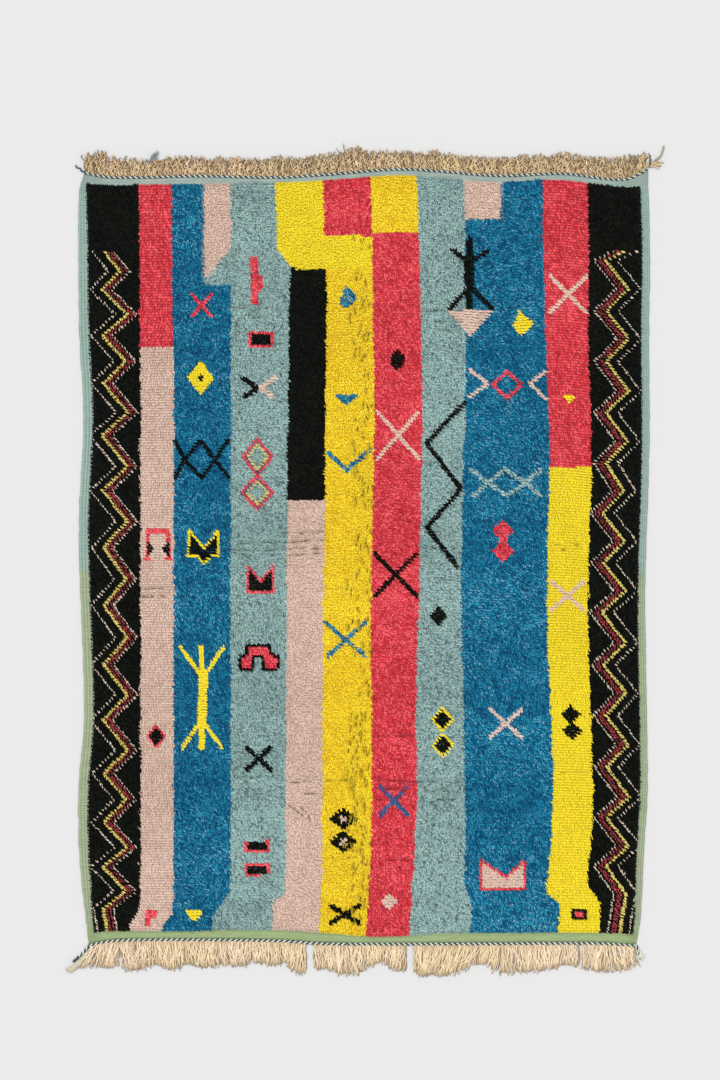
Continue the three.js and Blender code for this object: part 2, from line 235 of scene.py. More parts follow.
class RugPileSizes(PropertyGroup):
    """Sizes of the ground cloth and its knotted pile."""

    knot_across: length("Knot width", 0.0074, "Width of one knot, across the rug")
    knot_along: length("Knot length", 0.0086, "Length of one knot with its wefts, along the rug")
    pile_top: length("Pile top", 0.0140, "Height of the pile's tips above the floor")
    pile_spread: length("Pile unevenness", 0.0011, "How much the tips differ in height")
    tuft_lie: length("Tuft lie", 0.0112, "How far a tuft lies over from its knot to its tip")
    tuft_width: length("Tuft width", 0.0066, "Thickness of a tuft at its shoulder")
    tuft_heading: FloatProperty(
        name="Tuft heading", description="Direction in which the pile lies, from the rug's width",
        default=math.radians(-53), subtype="ANGLE",
    )
    tuft_wander: FloatProperty(
        name="Tuft wander", description="How far the pile's direction drifts from place to place",
        default=math.radians(34), subtype="ANGLE",
    )
    crease_depth: length("Crease depth", 0.0052, "How far the tips drop where the pile is parted")
    seed: IntProperty(name="Seed", description="Start of the random numbers of cloth and pile", default=7)


class RugDyes(PropertyGroup):
    """Colours of the wools."""

    black: dye("Black wool", 0x050704, "Undyed black wool of the side borders")
    coral: dye("Coral wool", 0xD83944, "Coral red wool")
    blue: dye("Blue wool", 0x0B6287, "Heathered blue wool")
    blue_fleck: dye("Blue fleck", 0x6FB0CA, "Light strands in the blue wool")
    teal: dye("Grey-teal wool", 0x87A4A1, "Heathered grey-teal wool")
    yellow: dye("Yellow wool", 0xE7D123, "Clear yellow wool")
    gold: dye("Golden wool", 0xE8C920, "Golden yellow wool")
    blush: dye("Blush wool", 0xD1B5A5, "Pale blush wool")
    straw: dye("Straw wool", 0xDCC86C, "Faded yellow wool of the zigzags")
    madder: dye("Madder wool", 0xA2343A, "Deep red wool of the zigzags")
    cream: dye("Cream wool", 0xD3C3B0, "Undyed cream wool")
    indigo: dye("Indigo wool", 0x3E5A86, "Blue-violet wool of one small cross")
    selvedge_top: dye("Selvedge, top", 0x82988F, "Grey-teal weft of the upper edges and top band")
    selvedge_bottom: dye("Selvedge, bottom", 0x8C977A, "Sage green weft of the lower edges and bottom band")
    twine_blue: dye("Twining, blue", 0x173E4C, "Blue ply of the twined rows")
    twine_cream: dye("Twining, cream", 0xC9C4B2, "Cream ply of the twined rows")
    fringe_top: dye("Top fringe", 0xD2B988, "Warp yarn of the short kinked fringe")
    fringe_bottom: dye("Bottom fringe", 0xBBAA8A, "Warp yarn of the long fringe")


class RugEndSizes(PropertyGroup):
    """Sizes of the twined rows and fringes."""

    ply: length("Ply thickness", 0.0050, "Thickness of one ply of the twining")
    turn: length("Twining turn", 0.0172, "Length of one full turn of the two plies")
    top_yarn: length("Top yarn", 0.0037, "Thickness of a yarn of the top fringe")
    bottom_yarn: length("Bottom yarn", 0.0038, "Thickness of a yarn of the bottom fringe")
    top_strands: IntProperty(name="Top strands", description="Yarns in the top fringe", default=1150, min=1)
    bottom_strands: IntProperty(
        name="Bottom strands", description="Yarns in the bottom fringe", default=1600, min=1
    )
    kink: length("Kink", 0.0036, "How far a kinked yarn swings to each side")
    kink_turn: length("Kink length", 0.0122, "Length of one full kink")
    lock: length("Lock width", 0.034, "Width of a lock of yarns in the bottom fringe")
    seed: IntProperty(name="Seed", description="Start of the random numbers of the ends", default=21)


class RugStage(PropertyGroup):
    """The floor, lights and camera."""

    floor: dye("Floor", 0xBCBCBC, "Colour of the plain floor")
    camera_height: length("Camera height", 10.0, "Height of the camera above the floor")
    view_length: length("View length", 3.456, "Length of floor that the picture shows from top to bottom")
    view_x: FloatProperty(
        name="View across", description="Middle of the picture from the cloth's middle, across",
        default=-0.0128, unit="LENGTH",
    )
    view_y: FloatProperty(
        name="View along", description="Middle of the picture from the cloth's middle, along",
        default=0.0614, unit="LENGTH",
    )
    key: FloatProperty(name="Key light", description="Strength of the soft key light", default=2.2, min=0.0)
    fill: FloatProperty(
        name="Fill light", description="Strength of the light from all round", default=1.06, min=0.0
    )


def along(rows, place):
    """Value at each place on a smooth curve through a table's rows."""
    at, value = np.array(rows, dtype=float).T
    slope = np.gradient(value, at)
    slope[1:-1] = (value[2:] - value[:-2]) / (at[2:] - at[:-2])
    t = np.clip(place, at[0], at[-1])
    i = np.clip(np.searchsorted(at, t, side="right") - 1, 0, len(at) - 2)
    span = at[i + 1] - at[i]
    s = (t - at[i]) / span
    step = s * s * (3 - 2 * s)
    bulge = s * (1 - s) * span * ((1 - s) * slope[i] - s * slope[i + 1])
    return value[i] * (1 - step) + value[i + 1] * step + bulge


def place_across(x):
    """Share of the cloth's width at x."""
    return x / CLOTH_WIDTH + 0.5


def place_along(y):
    """Share of the cloth's length at y."""
    return y / CLOTH_LENGTH + 0.5


def seam_line(noted):
    """Y and X of a seam's points in the design, from the bottom up, in whole millimetres."""
    rows, columns = np.array(noted[::-1], dtype=float).T
    return np.round((MIDDLE_ROW - rows) * MM_TO_PIXEL), np.round((columns - MIDDLE_COLUMN) * MM_TO_PIXEL)


SEAMS = [seam_line(noted) for noted in SEAM_PIXELS]


def left_edge(y):
    """X of the left edge."""
    return -CLOTH_WIDTH / 2 - along(LEFT_EDGE, place_along(y))


def right_edge(y):
    """X of the right edge."""
    return CLOTH_WIDTH / 2 + along(RIGHT_EDGE, place_along(y))


def top_line(x):
    """Y of the middle of the top twined row."""
    return CLOTH_LENGTH / 2 + along(TOP_EDGE, place_across(x))


def bottom_line(x):
    """Y of the middle of the bottom twined row."""
    return -CLOTH_LENGTH / 2 - along(BOTTOM_EDGE, place_across(x))


def frame_shift():
    """How far the frame's zero lies from the middle of the cloth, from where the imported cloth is."""
    low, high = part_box("rug")
    steps = np.linspace(-0.5, 0.5, 2001)
    lowest_x = left_edge(steps * CLOTH_LENGTH).min()
    highest_y = top_line(steps * CLOTH_WIDTH).max() - TWINE_TO_CLOTH
    return np.array((low.x / MM - lowest_x, high.y / MM - highest_y, 0.0))


SHIFT = frame_shift()


def mix(a, b, factor):
    """From a to b by factor."""
    return a + (b - a) * factor


def hills(x, y, cell, seed):
    """Smooth random hills from -1 to 1, about one to a cell."""
    table = np.random.default_rng(seed).uniform(-1, 1, (64, 64))
    gx, gy = x / cell, y / cell
    ix, iy = np.floor(gx).astype(int), np.floor(gy).astype(int)
    fx, fy = gx - ix, gy - iy
    fx, fy = fx * fx * (3 - 2 * fx), fy * fy * (3 - 2 * fy)
    near = mix(table[ix % 64, iy % 64], table[(ix + 1) % 64, iy % 64], fx)
    far = mix(table[ix % 64, (iy + 1) % 64], table[(ix + 1) % 64, (iy + 1) % 64], fx)
    return mix(near, far, fy)


def ripple(x, cell, seed):
    """Smooth random values from -1 to 1 along a line."""
    return hills(x, x * 0, cell, seed)


def unit(vectors):
    """The vectors at length 1."""
    return vectors / np.maximum(np.linalg.norm(vectors, axis=-1, keepdims=True), 1e-9)


def lay_piece(
    name, points, faces, finish, bake_spots, replaces=(), values=None, corner_values=None, smooth=True
):
    """Makes a piece from points in millimetres and arrays of faces, and ties it to the frame."""
    mesh = bpy.data.meshes.new(name)
    mesh.vertices.add(len(points))
    mesh.vertices.foreach_set("co", ((points + SHIFT) * MM).astype(np.float32).ravel())
    corners = np.concatenate([group.ravel() for group in faces]).astype(np.int32)
    counts = np.concatenate([np.full(len(group), group.shape[1]) for group in faces])
    mesh.loops.add(len(corners))
    mesh.loops.foreach_set("vertex_index", corners)
    mesh.polygons.add(len(counts))
    mesh.polygons.foreach_set("loop_start", (np.cumsum(counts) - counts).astype(np.int32))
    mesh.polygons.foreach_set("use_smooth", np.full(len(counts), smooth))
    for key, numbers in (values or {}).items():
        layer = mesh.attributes.new(key, "FLOAT", "POINT")
        layer.data.foreach_set("value", np.asarray(numbers, dtype=np.float32).ravel())
    for key, numbers in (corner_values or {}).items():
        layer = mesh.attributes.new(key, "FLOAT_COLOR", "CORNER")
        layer.data.foreach_set("color", np.asarray(numbers, dtype=np.float32).ravel())
    layer = mesh.uv_layers.new(name="OFBake")
    layer.data.foreach_set("uv", np.asarray(bake_spots, dtype=np.float32).ravel())
    mesh.update(calc_edges=True)
    mesh.materials.append(finish)
    piece = bpy.data.objects.new(name, mesh)
    bpy.context.scene.collection.objects.link(piece)
    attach(piece, "root")
    if replaces:
        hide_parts(*replaces)


class Finish:
    """A node material while it is put together."""

    def __init__(self, name, roughness, sheen, specular):
        self.material = bpy.data.materials.new(name)
        self.material.use_nodes = True
        self.tree = self.material.node_tree
        self.tree.nodes.clear()
        self.shader = self.add("ShaderNodeBsdfPrincipled")
        output = self.add("ShaderNodeOutputMaterial")
        self.link(self.shader.outputs["BSDF"], output.inputs["Surface"])
        self.shader.inputs["Roughness"].default_value = roughness
        self.shader.inputs["Sheen Weight"].default_value = sheen
        self.shader.inputs["Sheen Roughness"].default_value = 0.5
        self.shader.inputs["Specular IOR Level"].default_value = specular

    def add(self, kind):
        """A new node."""
        return self.tree.nodes.new(kind)

    def link(self, source, target):
        """Joins an output to an input."""
        self.tree.links.new(source, target)

    def feed(self, socket, value):
        """Gives an input an output, a number or a colour."""
        if isinstance(value, bpy.types.NodeSocket):
            self.link(value, socket)
        elif hasattr(value, "__len__"):
            socket.default_value = (*value[:3], 1.0)
        else:
            socket.default_value = value

    def value(self, name):
        """A number that the mesh holds for each point."""
        node = self.add("ShaderNodeAttribute")
        node.attribute_name = name
        return node.outputs["Fac"]

    def colour(self, name):
        """A colour that the mesh holds for each corner."""
        node = self.add("ShaderNodeAttribute")
        node.attribute_name = name
        return node.outputs["Color"]

    def places(self, stretch=(1.0, 1.0, 1.0)):
        """Places on the piece in metres, stretched along each axis."""
        where = self.add("ShaderNodeTexCoord")
        scaled = self.add("ShaderNodeMapping")
        scaled.inputs["Scale"].default_value = stretch
        self.link(where.outputs["Object"], scaled.inputs["Vector"])
        return scaled.outputs["Vector"]

    def noise(self, scale, detail=2.0, stretch=(1.0, 1.0, 1.0)):
        """Cloudy noise from 0 to 1, scale being clouds to a metre."""
        node = self.add("ShaderNodeTexNoise")
        self.link(self.places(stretch), node.inputs["Vector"])
        node.inputs["Scale"].default_value = scale
        node.inputs["Detail"].default_value = detail
        return node.outputs["Fac"]

    def ribs(self, pitch, direction, wobble):
        """Rows of round ribs from 0 to 1, one to each pitch in metres."""
        node = self.add("ShaderNodeTexWave")
        node.bands_direction = direction
        self.link(self.places(), node.inputs["Vector"])
        node.inputs["Scale"].default_value = 2 * math.pi / (20 * pitch)
        node.inputs["Distortion"].default_value = wobble
        node.inputs["Detail"].default_value = 1.0
        node.inputs["Detail Scale"].default_value = 1.5
        return node.outputs["Fac"]

    def remap(self, value, low, high, start=0.0, end=1.0):
        """Value between start and end, moved to between low and high."""
        node = self.add("ShaderNodeMapRange")
        self.feed(node.inputs["Value"], value)
        node.inputs["From Min"].default_value = start
        node.inputs["From Max"].default_value = end
        node.inputs["To Min"].default_value = low
        node.inputs["To Max"].default_value = high
        return node.outputs["Result"]

    def combine(self, operation, first, second):
        """Two numbers put together."""
        node = self.add("ShaderNodeMath")
        node.operation = operation
        self.feed(node.inputs[0], first)
        self.feed(node.inputs[1], second)
        return node.outputs["Value"]

    def sum(self, first, second):
        """Two numbers added."""
        return self.combine("ADD", first, second)

    def product(self, first, second):
        """Two numbers multiplied."""
        return self.combine("MULTIPLY", first, second)

    def blend(self, factor, first, second, way="MIX"):
        """Two colours put together."""
        node = self.add("ShaderNodeMix")
        node.data_type = "RGBA"
        node.blend_type = way
        self.feed(node.inputs[0], factor)
        self.feed(node.inputs[6], first)
        self.feed(node.inputs[7], second)
        return node.outputs[2]

    def shade(self, colour, value):
        """A colour made darker or lighter by a number."""
        grey = self.add("ShaderNodeCombineColor")
        for socket in grey.inputs[:3]:
            self.feed(socket, value)
        return self.blend(1.0, colour, grey.outputs["Color"], "MULTIPLY")

    def ramp(self, factor, stops):
        """A colour between stops, each a place from 0 to 1 and a colour."""
        node = self.add("ShaderNodeValToRGB")
        band = node.color_ramp
        while len(band.elements) < len(stops):
            band.elements.new(0.5)
        for element, (at, tint) in zip(band.elements, stops):
            element.position = at
            element.color = (*tint[:3], 1.0)
        self.feed(node.inputs["Fac"], factor)
        return node.outputs["Color"]

    def relief(self, height, depth):
        """Raises the surface by height, up to depth in metres."""
        node = self.add("ShaderNodeBump")
        node.inputs["Strength"].default_value = 1.0
        node.inputs["Distance"].default_value = depth
        self.feed(node.inputs["Height"], height)
        self.link(node.outputs["Normal"], self.shader.inputs["Normal"])

    def done(self, colour, roughness=None):
        """Sets the surface's colour, and its roughness if that is given, and returns the material."""
        self.feed(self.shader.inputs["Base Color"], colour)
        if roughness is not None:
            self.feed(self.shader.inputs["Roughness"], roughness)
        return self.material


class KnotChart:
    """The wool at each of many places, in millimetres from the middle of the cloth."""

    def __init__(self, x, y, ragged=0.0):
        y = y + DESIGN_LOW
        self.x, self.y = x, y
        self.stripe = np.zeros(len(x), dtype=int)
        for ys, xs in SEAMS:
            self.stripe += x + ragged > np.interp(y, ys, xs)
        self.wool = np.array(STRIPE_WOOLS, dtype="U8")[self.stripe]

    def stain(self, where, wool, stripe=None):
        """Gives the chosen places a wool, in one stripe if that is named."""
        if stripe is not None:
            where = where & (self.stripe == stripe)
        self.wool[where] = wool

    def box(self, low, high, wool, stripe=None):
        """An upright rectangle."""
        inside = (self.x > low[0]) & (self.x < high[0]) & (self.y > low[1]) & (self.y < high[1])
        self.stain(inside, wool, stripe)

    def fill(self, outline, wool, stripe=None):
        """A patch with straight sides."""
        inside = np.zeros(len(self.x), dtype=bool)
        for (ax, ay), (bx, by) in zip(outline, (*outline[1:], outline[0])):
            if ay == by:
                continue
            crosses = (ay > self.y) != (by > self.y)
            inside ^= crosses & (self.x < ax + (self.y - ay) * (bx - ax) / (by - ay))
        self.stain(inside, wool, stripe)

    def stroke(self, line, width, wool, closed=False):
        """A line of knots through points."""
        ends = (*line[1:], line[0]) if closed else line[1:]
        for (ax, ay), (bx, by) in zip(line, ends):
            run = (bx - ax) ** 2 + (by - ay) ** 2
            t = np.clip(((self.x - ax) * (bx - ax) + (self.y - ay) * (by - ay)) / run, 0, 1)
            off = np.hypot(self.x - ax - t * (bx - ax), self.y - ay - t * (by - ay))
            self.stain(off < width / 2, wool)

    def diamond(self, at, half, wool):
        """A filled diamond."""
        self.stain(np.abs(self.x - at[0]) / half[0] + np.abs(self.y - at[1]) / half[1] < 1, wool)

    def cross(self, at, half, width, wool):
        """A slanting cross."""
        (x, y), (w, h) = at, half
        self.stroke(((x - w, y + h), (x + w, y - h)), width, wool)
        self.stroke(((x - w, y - h), (x + w, y + h)), width, wool)

    def outlined(self, outline, width, inner, outer):
        """A patch with a line of another wool round it."""
        self.fill(outline, inner)
        self.stroke(outline, width, outer, closed=True)

    def zigzag(self, turns, bands, stripe):
        """Lines side by side that turn at the same heights, each band set off across by millimetres."""
        ys, xs = np.array(turns[::-1], dtype=float).T
        off = self.x - np.interp(self.y, ys, xs)
        inside = (self.y < turns[0][0]) & (self.y > turns[-1][0])
        for near, far, wool in bands:
            self.stain(inside & (off > min(near, far)) & (off < max(near, far)), wool, stripe)


def zigzag_turns(start, end, left, right, steps, swell, longer, first_right, seed):
    """Turning points, Y then X, of a line that goes from side to side down the rug, one point for each step.
    Steps to the right are longer than steps to the left, and swell makes them longer in the middle."""
    rng = np.random.default_rng(seed)
    middle = (np.arange(steps) + 0.5) / steps
    to_right = (np.arange(steps) % 2 == 0) == first_right
    sizes = (1 + swell * np.sin(math.pi * middle)) * np.where(to_right, longer, 1 / longer)
    sizes *= rng.uniform(0.94, 1.06, steps)
    down = start + (end - start) * np.concatenate(((0.0,), np.cumsum(sizes) / sizes.sum()))
    at_left = (np.arange(steps + 1) % 2 == 0) == first_right
    across = np.where(at_left, left, right) + rng.uniform(-4, 4, steps + 1)
    return [tuple(point) for point in np.stack((down, across), axis=1)]


# Lines of the side borders' zigzags: from and to, across from the middle line, and the wool
BAND_LINES = (
    (-40.5, -36.0, "cream"), (-5.4, 5.4, "straw"), (9.2, 13.6, "madder"), (20.0, 24.4, "madder"),
    (29.6, 34.0, "cream"),
)
LOW_LEFT_LINES = ((-32.0, -27.5, "cream"), *BAND_LINES[1:])
RIGHT_LINES = (*BAND_LINES[:2], (13.0, 18.0, "madder"), (22.0, 27.0, "madder"), (36.5, 41.0, "cream"))
LOW_RIGHT_LINES = (LOW_LEFT_LINES[0], *RIGHT_LINES[1:])


def chart_stripes(chart):
    """Changes of wool along the stripes."""
    chart.box((-800, 686), (0, 1300), "coral", stripe=1)
    upper = ((-510, 1300), (-400, 1300), (-400, 1002), (-426, 1002), (-502, 907), (-510, 907))
    chart.fill(upper, "blush", stripe=2)
    lower = ((-400, 1002), (-426, 1002), (-502, 907), (-510, 907), (-510, 886), (-400, 886))
    chart.fill(lower, "teal", stripe=2)
    chart.box((-400, 936), (0, 1300), "yellow", stripe=4)
    chart.box((-400, 194), (0, 936), "black", stripe=4)
    chart.box((-400, 936), (400, 1300), "yellow", stripe=5)
    chart.box((-400, 1042), (400, 1300), "coral", stripe=5)
    chart.box((-400, 1051), (400, 1300), "gold", stripe=6)
    chart.box((200, 1094), (437, 1300), "blush", stripe=8)
    chart.box((400, -1300), (900, 301), "yellow", stripe=9)


def chart_borders(chart):
    """Zigzag lines in the two black side borders."""
    left = zigzag_turns(994, -1112, -834, -758, 26, 0.5, 1.1, True, 3)
    left[1] = (left[1][0], -780)
    chart.zigzag(left, BAND_LINES, 0)
    chart.zigzag([left[-1], (-1220, -814)], LOW_LEFT_LINES, 0)
    right = [(994, 840), *zigzag_turns(960, -1060, 776, 846, 25, 0.05, 1.15, True, 8)]
    right = [(down, across - 12 * (-460 < down < 290)) for down, across in right[:-1]] + [(-1064, 838)]
    for turns, lines in ((right, RIGHT_LINES), ((right[-1], (-1220, 812)), LOW_RIGHT_LINES)):
        chart.zigzag(turns, [(-near, -far, wool) for near, far, wool in lines], LAST_STRIPE)


def chart_left_marks(chart):
    """Marks knotted into the second, third and fourth stripes."""
    chart.stroke(((-693, 5), (-689, 98), (-627, 98), (-622, 5)), 12.4, "coral")
    chart.box((-694, 89), (-621, 106), "coral")
    chart.box((-702, 0), (-680, 10), "coral")
    chart.box((-635, 0), (-614, 10), "coral")
    chart.fill(((-693, 67), (-671, 40), (-694, 13)), "black")
    chart.fill(((-624, 67), (-645, 40), (-622, 13)), "black")
    chart.diamond((-665, -560), (32, 40), "coral")
    chart.diamond((-665, -560), (24, 29), "black")
    corner = ((-699, -1118), (-662, -1118), (-662, -1139), (-682, -1142), (-684, -1163), (-700, -1163))
    chart.fill(corner, "coral")

    chart.cross((-519, 818), (30, 35), 10.2, "coral")
    chart.diamond((-522, 586), (43, 55), "yellow")
    chart.diamond((-522, 587), (11, 13), "black")
    chart.stroke(((-603, 386), (-574, 325), (-518, 267), (-475, 325), (-435, 386)), 12.2, "black")
    chart.stroke(((-603, 267), (-574, 325), (-522, 386), (-475, 325), (-432, 267)), 12.2, "black")
    crown = (
        (-558, 99), (-512, 41), (-467, 96), (-467, 16), (-493, 14), (-512, -8), (-531, 14), (-561, 16),
    )
    chart.outlined(crown, 6.4, "black", "yellow")
    branches = (
        ((-586, -276), (-526, -357), 11.6), ((-449, -276), (-504, -357), 11.6),
        ((-520, -274), (-517, -360), 13.0), ((-530, -523), (-579, -594), 11.4),
        ((-518, -514), (-518, -594), 19.0), ((-507, -523), (-454, -594), 11.4),
    )
    for top, foot, width in branches:
        chart.stroke((top, foot), width, "yellow")
    trunk = ((-529, -344), (-502, -344), (-500, -392), (-504, -530), (-533, -530), (-527, -411))
    chart.fill(trunk, "yellow")
    chart.fill(((-570, -1114), (-518, -1111), (-520, -1131), (-542, -1152), (-563, -1133)), "yellow")

    bar = (
        (-363, 971), (-338, 971), (-338, 917), (-322, 910), (-322, 875), (-338, 862), (-338, 821),
        (-361, 821),
    )
    chart.fill(bar, "coral")
    chart.box((-369, 686), (-289, 734), "coral")
    chart.box((-360, 694), (-298, 726), "black")
    chart.stroke(((-386, 585), (-340, 553), (-380, 527)), 15.5, "black")
    chart.stroke(((-283, 587), (-332, 555), (-292, 526)), 13.4, "blush")
    for at, half in (((-340, 334), (52, 65)), ((-340, 220), (56, 60))):
        for inset, wool in ((0, "coral"), (11, "indigo"), (15.5, "straw"), (26, "teal")):
            chart.diamond(at, (half[0] - inset, half[1] - inset * 1.15), wool)
    chart.outlined(((-370, -16), (-330, -64), (-291, -16), (-289, -97), (-372, -97)), 7.4, "black", "coral")
    arch = (
        (-374, -270), (-301, -270), (-299, -294), (-273, -307), (-273, -339), (-286, -349), (-320, -349),
        (-325, -304), (-352, -304), (-358, -349), (-386, -349), (-397, -338), (-395, -307), (-374, -294),
    )
    chart.outlined(arch, 9.6, "coral", "black")
    chart.cross((-336, -631), (37, 35), 15.5, "black")
    chart.box((-383, -934), (-301, -893), "coral")
    opening = ((-378, -908), (-366, -900), (-316, -900), (-305, -915), (-318, -927), (-366, -926))
    chart.fill(opening, "black")
    chart.box((-381, -1004), (-301, -964), "coral")
    chart.box((-372, -996), (-310, -972), "black")


def chart_middle_marks(chart):
    """Marks knotted into the sixth, seventh and eighth stripes."""
    heart = (
        (-54, 877), (-39, 869), (-20, 842), (-36, 824), (-58, 807), (-75, 817), (-77, 837), (-67, 850),
        (-68, 867),
    )
    chart.fill(heart, "blue")
    chart.fill(((-99, 535), (-13, 535), (-57, 498)), "blue")
    chart.stroke(((-116, 348), (-55, 292), (21, 357)), 14.0, "blue")
    chart.stroke(((-122, -196), (2, -302)), 12.8, "blue")
    chart.stroke(((10, -190), (-114, -302)), 12.8, "blue")
    for at in ((-65, -824), (-66, -896)):
        chart.diamond(at, (48, 35), "black")
        chart.cross(at, (8, 8), 7.0, "blush")
    chart.cross((-61, -1128), (45, 27), 16.0, "black")

    chart.fill(((107, 677), (133, 654), (127, 629), (104, 610), (83, 634), (92, 661)), "black")
    chart.cross((110, 403), (66, 74), 11.0, "blush")
    chart.cross((102, -43), (66, 67), 14.5, "black")
    chart.cross((96, -766), (43, 44), 12.8, "indigo")
    chart.diamond((81, -1087), (29, 26), "blush")

    chart.stroke(((323, 509), (202, 377), (310, 231), (202, 108), (298, -16)), 14.8, "black")
    chart.diamond((239, -174), (29, 34), "black")
    for at in ((251, -506), (253, -588)):
        chart.diamond(at, (37, 41), "yellow")
        chart.diamond(at, (28, 31), "black")


def chart_right_marks(chart):
    """Marks knotted into the ninth and tenth stripes."""
    chart.box((327, 805), (350, 1034), "black")
    chart.box((321, 886), (353, 975), "black")
    limbs = (
        ((336, 957), (281, 996)), ((339, 957), (395, 990)),
        ((336, 878), (277, 809)), ((339, 878), (409, 809)),
    )
    for limb in limbs:
        chart.stroke(limb, 15.5, "black")
    chart.fill(((267, 803), (416, 803), (339, 717)), "blush")
    leaf = ((495, 806), (517, 782), (543, 764), (528, 742), (502, 720), (474, 757), (490, 774))
    chart.fill(leaf, "yellow")
    chart.stroke(((339, 611), (396, 568), (338, 526)), 10.4, "blush")
    chart.diamond((458, 564), (54, 50), "coral")
    chart.diamond((458, 564), (38, 35), "blue")
    chart.stroke(((583, 608), (530, 568), (585, 517)), 10.4, "blush")
    chart.stroke(((342, 294), (397, 252), (458, 210), (518, 252), (565, 293)), 12.6, "teal")
    chart.stroke(((349, 208), (397, 252), (451, 294), (518, 252), (565, 208)), 12.6, "teal")
    chart.diamond((445, 98), (36, 33), "coral")
    chart.diamond((445, 32), (36, 34), "coral")
    chart.box((433, 52), (457, 78), "coral")
    chart.cross((454, -518), (50, 44), 10.8, "blush")
    crown = ((376, -957), (454, -1011), (515, -957), (515, -1047), (374, -1047))
    chart.outlined(crown, 8.0, "blush", "coral")

    chart.cross((653, 854), (58, 58), 12.0, "blush")
    chart.fill(((635, 532), (679, 532), (658, 504)), "yellow")
    chart.cross((651, -110), (52, 46), 11.4, "blush")
    chart.diamond((661, -490), (33, 30), "black")
    chart.diamond((666, -542), (33, 30), "black")
    chart.box((664, -1145), (713, -1108), "black")
    chart.box((675, -1137), (703, -1117), "coral")


def chart_all(chart):
    """The whole design."""
    chart_stripes(chart)
    chart_borders(chart)
    chart_left_marks(chart)
    chart_middle_marks(chart)
    chart_right_marks(chart)
    return chart.wool


def pile_place(across, down):
    """X and Y in the pile's field, from shares of its width and of its length from the bottom."""
    y = mix(-CLOTH_LENGTH / 2, CLOTH_LENGTH / 2, down)
    for _ in range(3):
        place = place_along(y)
        left = left_edge(y) + along(LEFT_MARGIN, place)
        right = right_edge(y) - along(RIGHT_MARGIN, place)
        x = mix(left, right, across)
        low = bottom_line(x) + along(BOTTOM_MARGIN, place_across(x))
        high = top_line(x) - along(TOP_MARGIN, place_across(x))
        y = mix(low, high, down)
    return x, y


def pile_lump(x, y):
    """Two slow waves across each other, from -1 to 1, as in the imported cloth."""
    wide = np.sin(2 * math.pi * (x / 520 + y / 1500))
    long = np.sin(2 * math.pi * (y / 610 - x / 1500))
    return (wide + long) / 2


def all_creases(seed):
    """The listed creases and the short wrinkles along the golden stripe: ends, depth and width."""
    rng = np.random.default_rng(seed)
    low = rng.uniform(0, 1, WRINKLE_COUNT) < WRINKLE_LOW_SHARE
    x = rng.normal(*WRINKLE_LINE, WRINKLE_COUNT)
    x = np.clip(x - np.where(low, rng.uniform(0, 30, WRINKLE_COUNT), 0), *WRINKLE_SIDES)
    y = np.where(low, rng.uniform(*WRINKLE_LOW, WRINKLE_COUNT), rng.uniform(*WRINKLE_REACH, WRINKLE_COUNT))
    run = rng.uniform(5, 17, WRINKLE_COUNT)
    slant = rng.uniform(-4, 4, WRINKLE_COUNT)
    depth = rng.uniform(0.45, 1, WRINKLE_COUNT)
    width = np.full(WRINKLE_COUNT, WRINKLE_WIDTH)
    wrinkles = np.stack((x - slant, y - run, x + slant, y + run, depth, width), axis=1)
    listed = np.array([(*crease, CREASE_WIDTH) for crease in CREASES], dtype=float)
    return np.concatenate((listed, wrinkles))


def open_creases(x, y, seed):
    """How far the pile is parted at each place, and the way, at most 1 long, that its tufts are pushed."""
    parted = np.zeros(len(x))
    push = np.zeros((len(x), 2))
    y = y + DESIGN_LOW
    for number, (ax, ay, bx, by, depth, wide) in enumerate(all_creases(seed)):
        near = (x > min(ax, bx) - CREASE_NEAR) & (x < max(ax, bx) + CREASE_NEAR)
        near &= (y > min(ay, by) - CREASE_NEAR) & (y < max(ay, by) + CREASE_NEAR)
        px, py = x[near], y[near]
        run = np.array((bx - ax, by - ay))
        size = np.hypot(*run)
        wave = 3.0 * hills(px, py, 30, seed + number)
        t = ((px - ax) * run[0] + (py - ay) * run[1]) / size**2
        off = ((px - ax) * -run[1] + (py - ay) * run[0]) / size + wave
        ends = np.clip(np.minimum(t, 1 - t) * size / 8 + 0.6, 0, 1)
        broken = np.clip(0.7 + 1.6 * hills(px, py, 22, seed + 500 + number), 0, 1) if size > 60 else 1.0
        open_by = depth * ends * broken
        parted[near] = np.maximum(parted[near], open_by * np.exp(-((off / wide) ** 4)))
        beside = open_by * np.exp(-((off / CREASE_REACH) ** 4))
        aside = (beside * np.sign(off))[:, None] * np.array((-run[1], run[0])) / size
        stronger = beside > np.hypot(*push[near].T)
        push[near] = np.where(stronger[:, None], aside, push[near])
    return parted, push


# A tuft is one cut end of a knot: three corners at its foot and a point that lies over
TUFT_POINTS = 4
TUFT_SIDES = ((0, 1, 3), (1, 2, 3), (2, 0, 3), (2, 1, 0))
TUFTS_TO_KNOT = 2

# How much of its lie a tuft starts back from its knot
SEEN_SHARE = 0.55

# The stripes whose knots show as rows, and the way that their tufts point
ROW_STRIPES = (1, 9)
ROW_HEADING = math.radians(-58)

# Bare cloth at both sides together and at both ends together, and how far open a crease must be for its
# tufts to be painted fully in the crease's shadow
BARE_ACROSS = 54
BARE_ALONG = 50
CREASE_SHADOW_FROM = 0.42


def tuft_faces(count):
    """Faces of the tufts: three sides and the foot."""
    first = np.arange(count)[:, None] * TUFT_POINTS
    return [np.concatenate([first + np.array(side) for side in TUFT_SIDES])]


